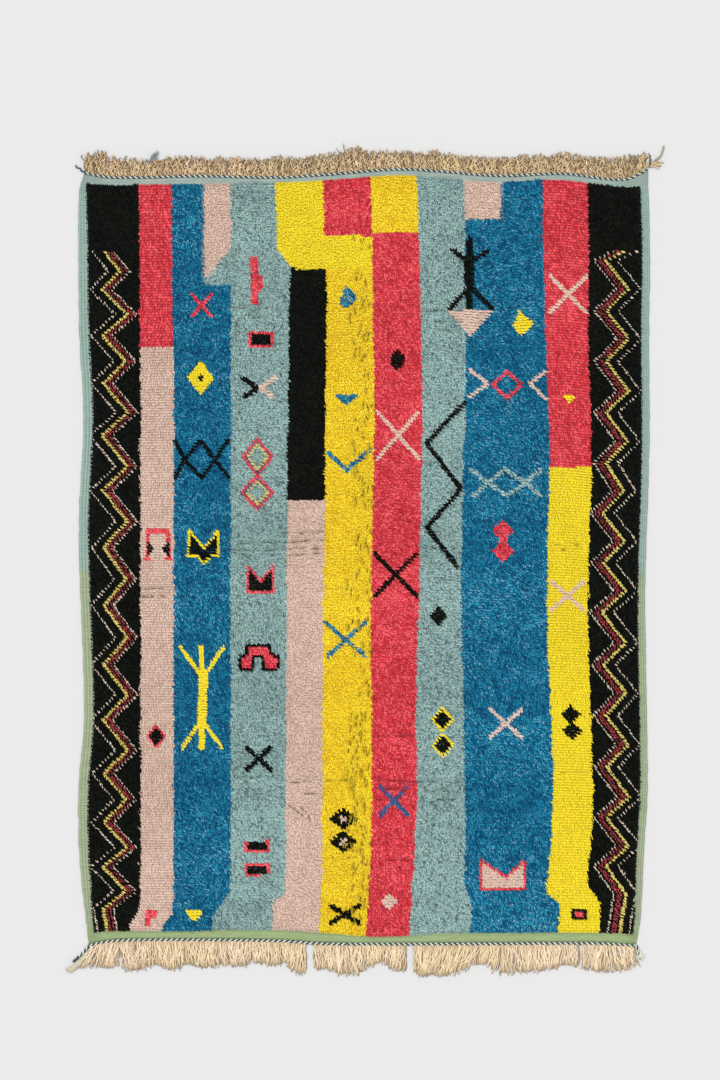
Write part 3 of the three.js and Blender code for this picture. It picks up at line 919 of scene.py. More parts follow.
def tuft_spots(count):
    """Where each corner of each tuft lies on the bake's map: a small tile to a tuft."""
    across = math.ceil(math.sqrt(count))
    tile = np.stack((np.arange(count) % across, np.arange(count) // across), axis=1)[:, None, :]
    spots = [np.array(((k / 3 + 0.02, 0.03), (k / 3 + 0.31, 0.03), (k / 3 + 0.165, 0.7))) for k in range(3)]
    spots.append(np.array(((0.05, 0.97), (0.95, 0.97), (0.5, 0.76))))
    return np.concatenate([((tile + spot) / across).reshape(-1, 2) for spot in spots])


def shape_tufts(x, y, heading, lie, width, foot_z, tip_z):
    """Points of leaning tufts, each with a ridge from the back of its foot to its point."""
    way = np.stack((np.cos(heading), np.sin(heading), np.zeros(len(x))), axis=1)
    side = np.stack((-way[:, 1], way[:, 0], np.zeros(len(x))), axis=1)
    foot = np.stack((x, y, foot_z), axis=1) - way * (lie * SEEN_SHARE)[:, None]
    half = (width / 2)[:, None]
    back = foot - way * half * 1.2
    left, right = foot + side * half + way * half * 0.5, foot - side * half + way * half * 0.5
    point = foot + way * lie[:, None] + UP * (tip_z - foot_z)[:, None]
    return np.stack((back, right, left, point), axis=1)


def turned_aside(heading, push, beside):
    """Headings of the tufts, with those beside a crease turned along it so that none lies over it."""
    away = unit(push)
    way = np.stack((np.cos(heading), np.sin(heading)), axis=1)
    over = (way * away).sum(axis=1) * np.clip(beside * 1.8, 0, 1)
    way -= away * over[:, None]
    return np.arctan2(way[:, 1], way[:, 0])


FINE_WOOLS = ("straw", "madder", "cream")

# What is left of a wool's colour in the shadow of a crease
CREASE_SHADE = (0.24, 0.15, 0.11)

# How far each wool's darkest and lightest strands are from its dye
WOOL_TONES = {
    "black": ((0.45, 0.45, 0.45), (4.2, 4.2, 3.6)),
    "coral": ((0.58, 0.26, 0.4), (1.26, 3.05, 2.65)),
    "blue": ((0.2, 0.42, 0.52), (8.0, 2.6, 1.95)),
    "teal": ((0.26, 0.32, 0.36), (1.42, 1.36, 1.36)),
    "yellow": ((0.98, 0.94, 0.75), (1.01, 1.03, 1.25)),
    "gold": ((0.88, 0.74, 0.35), (1.05, 1.14, 2.0)),
    "blush": ((0.84, 0.79, 0.77), (1.1, 1.13, 1.16)),
    "cream": ((0.8, 0.78, 0.74), (1.14, 1.16, 1.2)),
    "straw": ((0.8, 0.78, 0.6), (1.1, 1.12, 1.3)),
    "madder": ((0.6, 0.5, 0.5), (1.4, 1.6, 1.6)),
    "indigo": ((0.6, 0.6, 0.65), (1.6, 1.5, 1.4)),
}
WOOL_NAMES = tuple(WOOL_TONES)


def wool_stops(wool, dyes):
    """Tones of a wool from its darkest strand to its lightest."""
    tint = np.array(getattr(dyes, wool))
    dark, light = WOOL_TONES[wool]
    stops = [(0.08, tint * dark), (0.5, tint), (0.92, np.minimum(tint * light, 0.97))]
    if wool == "blue":
        stops.append((1.0, np.array(dyes.blue_fleck)))
    return stops


def wool_finish(wool, dyes):
    """Cut wool pile in batches of dye: each tuft its own tone, with painted shade making it darker towards
    its root and in creases.
    """
    deep = wool in ("black", "blue", "indigo")
    sheen, specular = (0.02, 0.06) if deep else (0.1, 0.15)
    finish = Finish(wool + "_wool", roughness=0.9, sheen=sheen, specular=specular)
    batch = finish.noise(1.0, 2.0, stretch=(0.6, 3.4, 1.0))
    patch = finish.noise(22.0, 1.0)
    tone = finish.sum(finish.value("tuft_tone"), finish.remap(patch, -0.1, 0.1, 0.3, 0.7))
    tone = finish.sum(tone, finish.remap(batch, -0.12, 0.12, 0.3, 0.7))
    colour = finish.ramp(tone, wool_stops(wool, dyes))
    # Painted shadow of the creases: tufts in and beside a crease pulled towards a darker shadow colour
    colour = finish.blend(
        finish.value("tuft_parted"), colour, finish.blend(1.0, colour, CREASE_SHADE, "MULTIPLY")
    )
    # Painted shade: each tuft darker towards its root, with a random strand tone on top
    depth = finish.remap(finish.value("tuft_share"), 0.62, 1.06, 0.0, 0.7)
    strand = finish.noise(900.0, 2.0, stretch=(1.0, 0.45, 1.0))
    depth = finish.product(depth, finish.remap(strand, 0.82, 1.14, 0.25, 0.75))
    finish.relief(strand, 0.0012)
    return finish.done(finish.shade(colour, depth), finish.remap(strand, 0.84, 0.96))


class RUG_OT_lay_stage(Operator):
    """Set the camera over the rug and lay the plain floor under soft light"""

    bl_idname = "rug.lay_stage"
    bl_label = "Lay Floor, Lights and Camera"

    def execute(self, context):
        stage = context.scene.rug_stage
        scene = context.scene
        centre = Vector((stage.view_x + SHIFT[0] * MM, stage.view_y + SHIFT[1] * MM, stage.camera_height))
        lens = bpy.data.cameras.new("camera")
        lens.sensor_width = 36.0
        lens.lens = lens.sensor_width * stage.camera_height / stage.view_length
        lens.clip_end = 200.0
        camera = bpy.data.objects.new("camera", lens)
        camera.location = centre
        scene.collection.objects.link(camera)
        scene.camera = camera

        half, under_rug = 60.0, -0.0003
        mesh = bpy.data.meshes.new("floor")
        corners = ((-half, -half), (half, -half), (half, half), (-half, half))
        mesh.from_pydata([(x, y, under_rug) for x, y in corners], [], [(0, 1, 2, 3)])
        finish = Finish("floor_paint", roughness=0.9, sheen=0.0, specular=0.1)
        cloud = finish.remap(finish.noise(3.0, 2.0), 0.996, 1.004)
        mesh.materials.append(finish.done(finish.shade(tuple(stage.floor), cloud)))
        floor = bpy.data.objects.new("floor", mesh)
        scene.collection.objects.link(floor)

        lamp = bpy.data.lights.new("soft_key", "SUN")
        lamp.energy = stage.key
        lamp.angle = math.radians(38)
        key = bpy.data.objects.new("soft_key", lamp)
        key.rotation_euler = (math.radians(-24), math.radians(-22), 0)
        scene.collection.objects.link(key)

        world = bpy.data.worlds.new("studio")
        world.use_nodes = True
        light = world.node_tree.nodes["Background"]
        light.inputs["Color"].default_value = (1.0, 1.0, 1.0, 1.0)
        light.inputs["Strength"].default_value = stage.fill
        scene.world = world
        scene.view_settings.view_transform = "Standard"
        return {"FINISHED"}


def cloth_columns():
    """Lines along the cloth: the side they keep to, and the share of that side's strip."""
    sides = (*SELVEDGE_PROFILE, (1.1, FIELD_HEIGHT))
    lines = [("left", share_out, height) for share_out, height in sides]
    for stripe in range(LAST_STRIPE + 1):
        for step in range(1, 5):
            lines.append(("pile", stripe + step / 4, FIELD_HEIGHT))
    lines.pop()
    return lines + [("right", share_out, height) for share_out, height in sides[::-1]]


def cloth_column_x(lines, y):
    """X of each line of the cloth at the height y, which has a value for each line."""
    place = place_along(y)
    left, right = left_edge(y), right_edge(y)
    inner_left = left + along(LEFT_MARGIN, place)
    inner_right = right - along(RIGHT_MARGIN, place)
    seams = [inner_left]
    for ys, xs in SEAMS:
        seams.append(np.interp(y + DESIGN_LOW, ys, xs))
    seams = np.array([*seams, inner_right])
    x = np.empty(len(lines))
    for k, (kind, at, _) in enumerate(lines):
        if kind == "left":
            x[k] = mix(left[k], inner_left[k], at)
        elif kind == "right":
            x[k] = mix(right[k], inner_right[k], at)
        else:
            stripe = min(int(at), LAST_STRIPE)
            x[k] = mix(seams[stripe, k], seams[stripe + 1, k], at - stripe)
    return x


# Rows of the cloth's grid, and those of an end band: share of the band's width, then height
CLOTH_ROWS = 236
BAND_STEPS = (
    (0.0, 2.9), (0.33, BAND_HEIGHT), (0.66, BAND_HEIGHT), (0.95, BAND_HEIGHT), (1.06, FIELD_HEIGHT),
)
BAND_ROWS = len(BAND_STEPS) - 1

# Bare weft: where the upper grey turns into the lower green, and its tinted places and their dyes
WEFT_TURNS = -43
GREY_ABOVE = 1200
ROSY_ABOVE = 1180
ROSY_MIDDLE = -668
GREEN_BELOW = -1180
GREY_WEFT = dyed(0x8E9690)
ROSY_WEFT = dyed(0x9E968C)
GREEN_WEFT = dyed(0x87996C)

# The cloth under the pile reaches this far to each side, and gets the painted groove shade of a cord of this
# height
UNDER_PILE = 840
UNDER_PILE_CORD = 0.75


def cloth_grid():
    """X, Y and top height of the ground cloth's grid, row by row from the bottom."""
    lines = cloth_columns()
    heights = np.array([height for _, _, height in lines], dtype=float)
    rows = []
    for r in range(CLOTH_ROWS + 1):
        from_end = min(r, CLOTH_ROWS - r)
        y = np.full(len(lines), mix(-CLOTH_LENGTH / 2, CLOTH_LENGTH / 2, r / CLOTH_ROWS))
        for _ in range(3):
            x = cloth_column_x(lines, y)
            low = bottom_line(x) + TWINE_TO_CLOTH
            high = top_line(x) - TWINE_TO_CLOTH
            bare_low = along(BOTTOM_MARGIN, place_across(x)) - TWINE_TO_CLOTH
            bare_high = along(TOP_MARGIN, place_across(x)) - TWINE_TO_CLOTH
            if from_end <= BAND_ROWS:
                at = BAND_STEPS[from_end][0]
                y = low + bare_low * at if r == from_end else high - bare_high * at
            else:
                inset = BAND_STEPS[-1][0]
                field = (r - BAND_ROWS) / (CLOTH_ROWS - 2 * BAND_ROWS)
                y = mix(low + bare_low * inset, high - bare_high * inset, field)
        z = np.minimum(heights, BAND_STEPS[min(from_end, BAND_ROWS)][1])
        rows.append(np.stack((x, y, z), axis=1))
    return np.array(rows)


def uneven_cloth(grid, seed):
    """Small hand-made unevenness: wraps that bulge at the sides and a band that isn't quite flat."""
    x, y = grid[..., 0], grid[..., 1]
    columns = grid.shape[1]
    edge = len(SELVEDGE_PROFILE) - 1
    fade = np.zeros(columns)
    fade[:edge] = np.linspace(1, 0, edge)
    fade[-edge:] = np.linspace(0, 1, edge)
    bulge = 1.3 * hills(x, y, 24, seed) + 0.8 * hills(x, y, 11, seed + 1)
    grid[..., 0] += bulge * fade
    grid[..., 2] += 0.35 * hills(x, y, 30, seed + 2) * (0.3 + fade)
    return grid


def cloth_tints(x, y, on_field, dyes):
    """Colour of the ground cloth: stripes under the pile with painted shade, plain weft at the edges and
    ends.
    """
    chart = KnotChart(x, y)
    chart_stripes(chart)
    tints = np.zeros((len(x), 3))
    for name in WOOL_NAMES:
        tints[chart.wool == name] = getattr(dyes, name)
    down = np.clip((WEFT_TURNS - y + 14 * hills(x, y, 22, 5)) / 22 + 0.5, 0, 1)[:, None]
    weft = mix(np.array(dyes.selvedge_top), np.array(dyes.selvedge_bottom), down)
    rosy = np.clip(1 - np.abs(x - ROSY_MIDDLE) / 58, 0, 1) * (y > ROSY_ABOVE)
    weft = mix(weft, np.array(GREY_WEFT), 0.5 * (y > GREY_ABOVE)[:, None])
    weft = mix(weft, np.array(ROSY_WEFT), 0.6 * rosy[:, None])
    weft = np.where((y < GREEN_BELOW)[:, None], np.array(GREEN_WEFT), weft)
    # The stripes under the pile are darkened to 0.6 as painted shade of the tufts over them
    tints = np.where(on_field[:, None], tints * 0.6, weft)
    return np.concatenate((tints, np.ones((len(x), 1))), axis=1)


def cloth_finish():
    """Ground weave: weft wraps over warp ribs, each wrap a little lighter or darker, with painted shade in
    the grooves between wraps and between cords.
    """
    finish = Finish("ground_weave", roughness=0.9, sheen=0.15, specular=0.2)
    wefts = finish.ribs(0.0052, "Y", 2.2)
    warps = finish.ribs(0.0060, "X", 1.4)
    weave = finish.product(wefts, finish.remap(warps, 0.55, 1.0))
    streak = finish.noise(60.0, 3.0, stretch=(0.35, 3.0, 1.0))
    # Painted shade in the grooves between wraps, and by cord height in the grooves between the selvedge's
    # cords
    tone = finish.product(finish.remap(weave, 0.87, 1.06), finish.remap(streak, 0.86, 1.14, 0.25, 0.75))
    tone = finish.product(tone, finish.remap(finish.value("cord_height"), 0.76, 1.06))
    finish.relief(weave, 0.0009)
    return finish.done(finish.shade(finish.colour("weave_colour"), tone), finish.remap(streak, 0.84, 0.97))


class RUG_OT_weave_ground(Operator):
    """Weave the ground cloth with its ribbed selvedges and the plain band at each end"""

    bl_idname = "rug.weave_ground"
    bl_label = "Weave Ground Cloth"

    def execute(self, context):
        dyes = context.scene.rug_dyes
        top = uneven_cloth(cloth_grid(), context.scene.rug_pile.seed)
        rows, columns = top.shape[:2]
        under = top * np.array((1, 1, 0))
        points = np.concatenate((top.reshape(-1, 3), under.reshape(-1, 3)))
        count = rows * columns
        number = np.arange(count).reshape(rows, columns)
        a, b = number[:-1, :-1].ravel(), number[:-1, 1:].ravel()
        c, d = number[1:, 1:].ravel(), number[1:, :-1].ravel()
        upper = np.stack((a, b, c, d), axis=1)
        lower = np.stack((a, d, c, b), axis=1) + count
        rim = np.concatenate((number[0, :-1], number[:-1, -1], number[-1, :0:-1], number[:0:-1, 0]))
        ahead = np.roll(rim, -1)
        rim_faces = np.stack((rim + count, ahead + count, ahead, rim), axis=1)

        # Cord height sets the painted shade of the selvedge's grooves; under the pile it is one even value
        cord = np.clip((top[..., 2].ravel() - 2.6) / 2.6, 0, 1)
        cord = np.where(np.abs(top[..., 0].ravel()) <= UNDER_PILE, UNDER_PILE_CORD, cord)
        share_x = np.tile(np.linspace(0, 1, columns), rows)
        share_y = np.repeat(np.linspace(0, 1, rows), columns)
        flat = np.stack((share_x, share_y), axis=1)
        upper_spots = flat[upper] * (0.48, 0.98) + (0.005, 0.01)
        lower_spots = flat[lower - count] * (0.48, 0.98) + (0.495, 0.01)
        step = np.arange(len(rim)) / len(rim)
        onward = 1 / len(rim)
        rim_corners = ((0.985, 0), (0.985, onward), (0.997, onward), (0.997, 0))
        rim_spots = np.stack(
            [np.stack((np.full(len(rim), side), step + ahead_by), axis=1) for side, ahead_by in rim_corners],
            axis=1,
        )

        faces = np.concatenate((upper, lower, rim_faces))
        middles = points[faces].mean(axis=1)
        edge = len(SELVEDGE_PROFILE)
        column, row = (faces[:, 0] % count) % columns, (faces[:, 0] % count) // columns
        on_field = (column >= edge) & (column < columns - 1 - edge)
        on_field &= (row >= BAND_ROWS) & (row < rows - 1 - BAND_ROWS)
        on_field[len(upper) + len(lower):] = False
        tints = cloth_tints(middles[:, 0], middles[:, 1], on_field, dyes)
        lay_piece(
            "rug_cloth", points, [faces], cloth_finish(), replaces=("rug",),
            values={"cord_height": np.concatenate((cord, cord))},
            corner_values={"weave_colour": np.repeat(tints, 4, axis=0)},
            bake_spots=np.concatenate((upper_spots, lower_spots, rim_spots)).reshape(-1, 2),
        )
        return {"FINISHED"}


class RUG_OT_tie_pile(Operator):
    """Tie in and cut the pile, one tuft to a knot, in a piece for each wool"""

    bl_idname = "rug.tie_pile"
    bl_label = "Tie Pile"

    def execute(self, context):
        sizes = context.scene.rug_pile
        dyes = context.scene.rug_dyes
        rng = np.random.default_rng(sizes.seed)
        pitch_x, pitch_y = sizes.knot_across / MM / TUFTS_TO_KNOT, sizes.knot_along / MM
        columns = int(round((CLOTH_WIDTH - BARE_ACROSS) / pitch_x))
        rows = int(round((CLOTH_LENGTH - BARE_ALONG) / pitch_y))
        column, row = np.meshgrid(np.arange(columns), np.arange(rows))
        column, row = column.ravel(), row.ravel()
        count = len(column)
        x, y = pile_place((column + 0.5) / columns, (row + 0.5) / rows)

        teeth = rng.uniform(-2.2, 2.2, rows)[row] + 3.0 * hills(x, y, 52, sizes.seed + 3)
        plain = KnotChart(x, y, ragged=teeth)
        chart_stripes(plain)
        wool = chart_all(KnotChart(x, y, ragged=teeth))
        marked = wool != plain.wool

        loose = np.where(marked, 0.4, 1.0)
        fine = np.isin(wool, FINE_WOOLS)
        from_side = np.minimum(column + 0.5, columns - column - 0.5) * pitch_x
        from_end = np.minimum(row + 0.5, rows - row - 0.5) * pitch_y
        inner = np.clip(0.4 + np.minimum(from_side, from_end) / 22, 0, 1)
        in_rows = np.isin(plain.stripe, ROW_STRIPES) & ~marked
        x = x + rng.normal(0, 1.3, count) * np.where(in_rows, 1.4, loose)
        y = y + rng.uniform(-3.4, 3.4, count) * np.where(marked, 0.6, np.where(in_rows, 0.35, 1.0))
        parted, push = open_creases(x, y, sizes.seed + 40)
        # Tufts this far into a crease are drawn as narrow dark strands along it: painted shadow of the
        # crease
        in_crease_shadow = parted > CREASE_SHADOW_FROM
        beside = np.hypot(*push.T)
        x = x + push[:, 0] * CREASE_PUSH * ~in_crease_shadow
        y = y + push[:, 1] * CREASE_PUSH * ~in_crease_shadow
        drift = hills(x, y, 150, sizes.seed + 6) + 0.6 * hills(x, y, 44, sizes.seed + 7)
        heading = sizes.tuft_heading + sizes.tuft_wander * drift / 1.3 + rng.normal(0, 0.42, count) * loose
        heading = np.where(in_rows, ROW_HEADING + 0.75 * (heading - sizes.tuft_heading), heading)
        heading = turned_aside(heading, push, beside)
        lie = sizes.tuft_lie / MM * rng.uniform(0.75, 1.15, count) * (1 - 0.35 * beside) * inner
        lie *= np.where(fine, 0.95, np.where(marked, 1.15, 1.0))
        stout = np.where(marked, 1.18, rng.uniform(0.8, 1.15, count))
        width = sizes.tuft_width / MM * stout * (1 - 0.2 * beside)
        width *= np.where(fine, 0.72, 1.0) * (0.5 + 0.5 * inner)
        tone = np.clip(rng.beta(1.5, 1.5, count) + 0.1 * hills(x, y, 17, sizes.seed + 9), 0, 1)
        odd = rng.uniform(0, 1, count)
        blue, teal = wool == "blue", wool == "teal"
        flecked = blue & (odd < 0.2)
        peppered = teal & (odd < 0.13)
        tone = np.where(blue, np.minimum(tone, 0.72), np.where(teal, 0.3 + 0.7 * tone, tone))
        tone = np.where(flecked, rng.uniform(0.86, 1.04, count), np.where(peppered, 0.0, tone))
        width *= np.where(flecked | peppered, 0.62, 1.0)
        lie *= np.where(np.isin(wool, ("blue", "teal", "coral")), 0.88, 1.0)
        top = sizes.pile_top / MM - 0.7 * (1 - pile_lump(x, y)) + rng.normal(0, 0.7, count) * loose
        proud = np.where(marked | flecked | peppered, 0.9, 0.0)
        top += sizes.pile_spread / MM * hills(x, y, 30, sizes.seed + 8) + proud
        foot = np.full(count, FIELD_HEIGHT - 0.7)
        # In a crease, tufts stand a little higher, narrow and long along it, with a low tone and full
        # painted shadow; tufts beside it get a little painted shadow
        top += np.where(in_crease_shadow, 0.5, -0.3 * beside * sizes.crease_depth / MM)
        width *= np.where(in_crease_shadow, 0.48, 1.0)
        lie *= np.where(in_crease_shadow, 1.3, 1.0)
        tone = np.where(in_crease_shadow, 0.2, tone)
        shadow = np.where(in_crease_shadow, 1.0, 0.12 * beside)

        for name in WOOL_NAMES:
            chosen = wool == name
            if not chosen.any():
                raise RuntimeError(f"no knot of the chart is tied in {name} wool")
            amount = int(chosen.sum())
            points = shape_tufts(
                x[chosen], y[chosen], heading[chosen], lie[chosen], width[chosen], foot[chosen], top[chosen]
            )
            height_share = np.tile((0, 0, 0, 1), amount)
            lay_piece(
                "pile_" + name, points.reshape(-1, 3), tuft_faces(amount), wool_finish(name, dyes),
                values={
                    "tuft_tone": np.repeat(tone[chosen], TUFT_POINTS),
                    "tuft_share": height_share,
                    "tuft_parted": np.repeat(shadow[chosen], TUFT_POINTS),
                },
                bake_spots=tuft_spots(amount), smooth=False,
            )
        return {"FINISHED"}


def distance_along(points):
    """Length of a route up to each of its points."""
    return np.concatenate(((0.0,), np.cumsum(np.linalg.norm(np.diff(points, axis=0), axis=1))))


def even_route(points, step):
    """A route through points, cut into even steps of about the given length."""
    points = np.array(points, dtype=float)
    run = distance_along(points)
    at = np.linspace(0, run[-1], max(int(round(run[-1] / step)), 2) + 1)
    return np.stack([np.interp(at, run, points[:, k]) for k in range(3)], axis=1)


def softened(route, times):
    """A route with its corners rounded, ends kept."""
    route = route.copy()
    for _ in range(times):
        route[1:-1] = (route[:-2] + 2 * route[1:-1] + route[2:]) / 4
    return route


def yarn_tubes(routes, half_wide, half_high, sides, roll=0.0):
    """Points and faces of closed tubes of yarn along routes, which all have the same number of points."""
    strands, steps = routes.shape[:2]
    ahead = unit(np.gradient(routes, axis=1))
    side = unit(np.cross(ahead, UP))
    crown = np.cross(side, ahead)
    angle = roll + np.arange(sides) * 2 * math.pi / sides
    wide = side[:, :, None] * np.cos(angle)[:, None] * half_wide[..., None, None]
    high = crown[:, :, None] * np.sin(angle)[:, None] * half_high[..., None, None]
    points = routes[:, :, None] + wide + high
    number = np.arange(strands * steps * sides).reshape(strands, steps, sides)
    after = np.roll(number, -1, axis=2)
    walls = np.stack((number[:, :-1], number[:, 1:], after[:, 1:], after[:, :-1]), axis=-1).reshape(-1, 4)
    caps = np.concatenate((number[:, 0], number[:, -1, ::-1]))
    return points.reshape(-1, 3), [walls, caps]


def yarn_spots(strands, steps, sides, tall=4):
    """Where each corner of each yarn lies on the bake's map: a tall tile to a yarn."""
    across = math.ceil(math.sqrt(strands * tall))
    down = math.ceil(strands / across)
    tile = np.stack((np.arange(strands) % across, np.arange(strands) // across), axis=1)
    s, p, k = np.meshgrid(np.arange(strands), np.arange(steps - 1), np.arange(sides), indexing="ij")
    corner = np.array(((0, 0), (0, 1), (1, 1), (1, 0)))
    u = (k[..., None] + corner[:, 0]) / sides * 0.96 + 0.02
    v = (p[..., None] + corner[:, 1]) / (steps - 1) * 0.9 + 0.01
    walls = tile[s][..., None, :] + np.stack((u, v), axis=-1)
    turn = np.arange(sides) * 2 * math.pi / sides
    cap = np.stack((np.cos(turn) * 0.2, np.sin(turn) * 0.03), axis=1)
    first = tile[:, None] + cap + (0.25, 0.95)
    last = tile[:, None] + cap[::-1] + (0.75, 0.95)
    spots = np.concatenate((walls.reshape(-1, 2), first.reshape(-1, 2), last.reshape(-1, 2)))
    return spots / (across, down)


def twine_finish(name, tint):
    """Smooth plied yarn of a twined row."""
    finish = Finish(name, roughness=0.8, sheen=0.12, specular=0.3)
    strand = finish.noise(700.0, 2.0, stretch=(1.0, 0.5, 1.0))
    worn = finish.noise(45.0, 2.0)
    tone = finish.product(
        finish.remap(strand, 0.8, 1.15, 0.25, 0.75), finish.remap(worn, 0.85, 1.12, 0.3, 0.7)
    )
    finish.relief(strand, 0.0006)
    return finish.done(finish.shade(tint, tone), finish.remap(strand, 0.72, 0.9))


def twisted_ply(route, turn, ply, phase, turn_from, thin):
    """Route of one ply of a twined row, wound round the row's own route."""
    ahead = unit(np.gradient(route, axis=0))
    side = unit(np.cross(ahead, UP))
    wound = 2 * math.pi * np.abs(distance_along(route) - turn_from) / turn + phase
    across, up = 0.44 * ply * thin, 0.31 * ply * thin
    return route - side * (across * np.cos(wound))[:, None] + UP * (up * np.sin(wound))[:, None]


def tail_routes(tail, count, steps, spread, rng):
    """Yarns that lie together along a loose end and part a little at its tip."""
    middle = softened(even_route(tail, 4.0), 3)
    at = np.linspace(0, len(middle) - 1, steps)
    route = np.stack([np.interp(at, np.arange(len(middle)), middle[:, k]) for k in range(3)], axis=1)
    share_out = np.linspace(0, 1, steps)[:, None]
    routes = []
    for _ in range(count):
        offset = rng.normal(0, 1, (1, 3)) * (spread, spread, 0.8)
        curl = rng.normal(0, 0.5, (1, 3)) * (spread, spread, 0)
        wave = np.sin(share_out * 9 + rng.uniform(0, 6))
        routes.append(route + offset * (0.4 + 0.6 * share_out) + curl * wave)
    return np.array(routes)


def end_route(line, first_x, last_x, step):
    """The middle of a twined row from side to side."""
    x = np.linspace(first_x, last_x, 400)
    return even_route(np.stack((x, line(x), np.full(len(x), 3.5)), axis=1), step)


class RUG_OT_twine_ends(Operator):
    """Twine the blue and the cream ply across both ends, with their loose ends at the corners"""

    bl_idname = "rug.twine_ends"
    bl_label = "Twine Ends"

    def execute(self, context):
        sizes = context.scene.rug_ends
        dyes = context.scene.rug_dyes
        turn, ply = sizes.turn / MM, sizes.ply / MM
        step = turn / 8
        blue = twine_finish("twine_blue_yarn", tuple(dyes.twine_blue))
        cream = twine_finish("twine_cream_yarn", tuple(dyes.twine_cream))
        top = ((left_edge(END_Y), right_edge(END_Y) - 2), top_line, TOP_LEFT_TWINE, (), "twine_top", None)
        low = (
            (left_edge(-END_Y), right_edge(-END_Y) + 1), bottom_line, BOTTOM_LEFT_TWINE, BOTTOM_RIGHT_TWINE,
            "twine_bottom", TWIST_FLIPS,
        )
        for (first_x, last_x), line, start, end, node, flip_x in (top, low):
            middle = end_route(line, first_x, last_x, step)
            for yarn, phase, finish in (("blue", 0.0, blue), ("cream", math.pi, cream)):
                tail = len(start) > 0 and (yarn == "blue" or node == "twine_bottom")
                parts = [*(start if tail else ()), *middle, *end]
                route = softened(even_route(parts, step), 2)
                from_start = np.clip(first_x - route[:, 0], 0, None)
                beyond = np.clip(line(last_x) - route[:, 1], 0, None)
                past_end = beyond * (route[:, 0] > last_x - 3) * len(end)
                thin = np.clip(1 - from_start / 70 - past_end / 120, 0.86, 1)
                turn_from = 0.0
                if flip_x is not None:
                    near = int(np.argmin(np.abs(route[:, 0] - flip_x)))
                    turn_from = near * np.linalg.norm(np.diff(route, axis=0), axis=1).mean()
                wound = twisted_ply(route, turn, ply, phase, turn_from, thin)
                half = ply * thin * (0.56 if yarn == "blue" else 0.45)
                points, faces = yarn_tubes(wound[None], half[None], half[None] * 0.86, 6)
                lay_piece(
                    f"{node}_{yarn}", points, faces, finish, replaces=(node,),
                    bake_spots=yarn_spots(1, len(wound), 6),
                )
        for name, node, knot, yarns, spread, finish in (
            ("twine_top_knot", "twine_top", TOP_RIGHT_KNOT, 4, 1.4, blue),
            ("twine_bottom_knot", "twine_bottom", BOTTOM_LEFT_KNOT, 7, 2.2, blue),
            ("twine_bottom_fray", "twine_bottom", BOTTOM_RIGHT_FRAY, 6, 3.6, cream),
        ):
            routes = tail_routes(knot, yarns, 7, spread, np.random.default_rng(sizes.seed))
            half = np.full(routes.shape[:2], 0.36 * ply)
            points, faces = yarn_tubes(routes, half, half, 6)
            lay_piece(
                name, points, faces, finish, replaces=(node,),
                bake_spots=yarn_spots(yarns, 7, 6),
            )
        return {"FINISHED"}


# Casts of the undyed yarns: greener, rosier and in shadow
YARN_CASTS = {
    "fringe_top_yarn": (0xD9C59A, 0xDFC0A4, 0x8A6434),
    "fringe_bottom_yarn": (0xE6CFA8, 0xEBD3BA, 0xA88A5E),
    "top_tail_yarn": (0xA3A294, 0xB7A888, 0x8D866E),
    "grey_tuft_yarn": (0x8C979A, 0x6F858F, 0x5C6A70),
    "pale_tail_yarn": (0xB5B29A, 0xC2B8A4, 0x8D866E),
}


def fringe_finish(name, tint, dark=0.52):
    """Undyed plied warp yarn, greener or rosier from place to place, browner and darker as painted shade
    where it lies low under other yarns.
    """
    green, rosy, shadow = [dyed(card) for card in YARN_CASTS[name]]
    finish = Finish(name, roughness=0.88, sheen=0.15, specular=0.2)
    cast = finish.noise(5.0, 2.0)
    strand = finish.noise(800.0, 2.0, stretch=(1.0, 0.5, 1.0))
    colour = finish.blend(finish.remap(cast, 0.0, 1.0, 0.35, 0.65), green, rosy)
    colour = finish.blend(0.5, colour, tint)
    # Painted shade: the lower a yarn lies, the more it turns to the shadow colour and the darker it gets
    colour = finish.blend(finish.remap(finish.value("yarn_depth"), 0.75, 0.0), colour, shadow)
    tone = finish.remap(finish.value("yarn_tone"), 0.78, 1.12)
    tone = finish.product(tone, finish.remap(strand, 0.85, 1.1, 0.25, 0.75))
    tone = finish.product(tone, finish.remap(finish.value("yarn_depth"), dark, 1.1))
    finish.relief(strand, 0.0009)
    return finish.done(finish.shade(colour, tone), finish.remap(strand, 0.82, 0.95))


def fringe_piece(name, node, routes, half, finish, rng, depth, sides, flat=0.9):
    """Makes a fringe of many yarns, each thinner at its tip and flattened by a share of its width."""
    strands, steps = routes.shape[:2]
    routes[..., 2] = np.maximum(routes[..., 2], half * flat + 0.1)
    points, faces = yarn_tubes(routes, half, half * flat, sides, roll=math.pi / 2)
    tone = np.repeat(rng.uniform(0, 1, strands), steps * sides)
    lay_piece(
        name, points, faces, finish, replaces=(node,),
        values={"yarn_tone": tone, "yarn_depth": np.repeat(depth.ravel(), sides)},
        bake_spots=yarn_spots(strands, steps, sides),
    )


def yarn_places(first, last, count, rng):
    """X of yarns spread over a row, each moved a little within its share."""
    return first + (last - first) * (np.arange(count) + rng.uniform(0, 1, count)) / count


def yarn_halves(thickness, out, under, wider, rng):
    """Half the width of each yarn along it: thinner at its tip, and wider where it lies under the others."""
    count = len(under)
    half = thickness / MM / 2 * (1 - 0.2 * out**4) * rng.uniform(0.85, 1.12, count)[:, None]
    return half * np.where(under, wider, 1.0)[:, None]


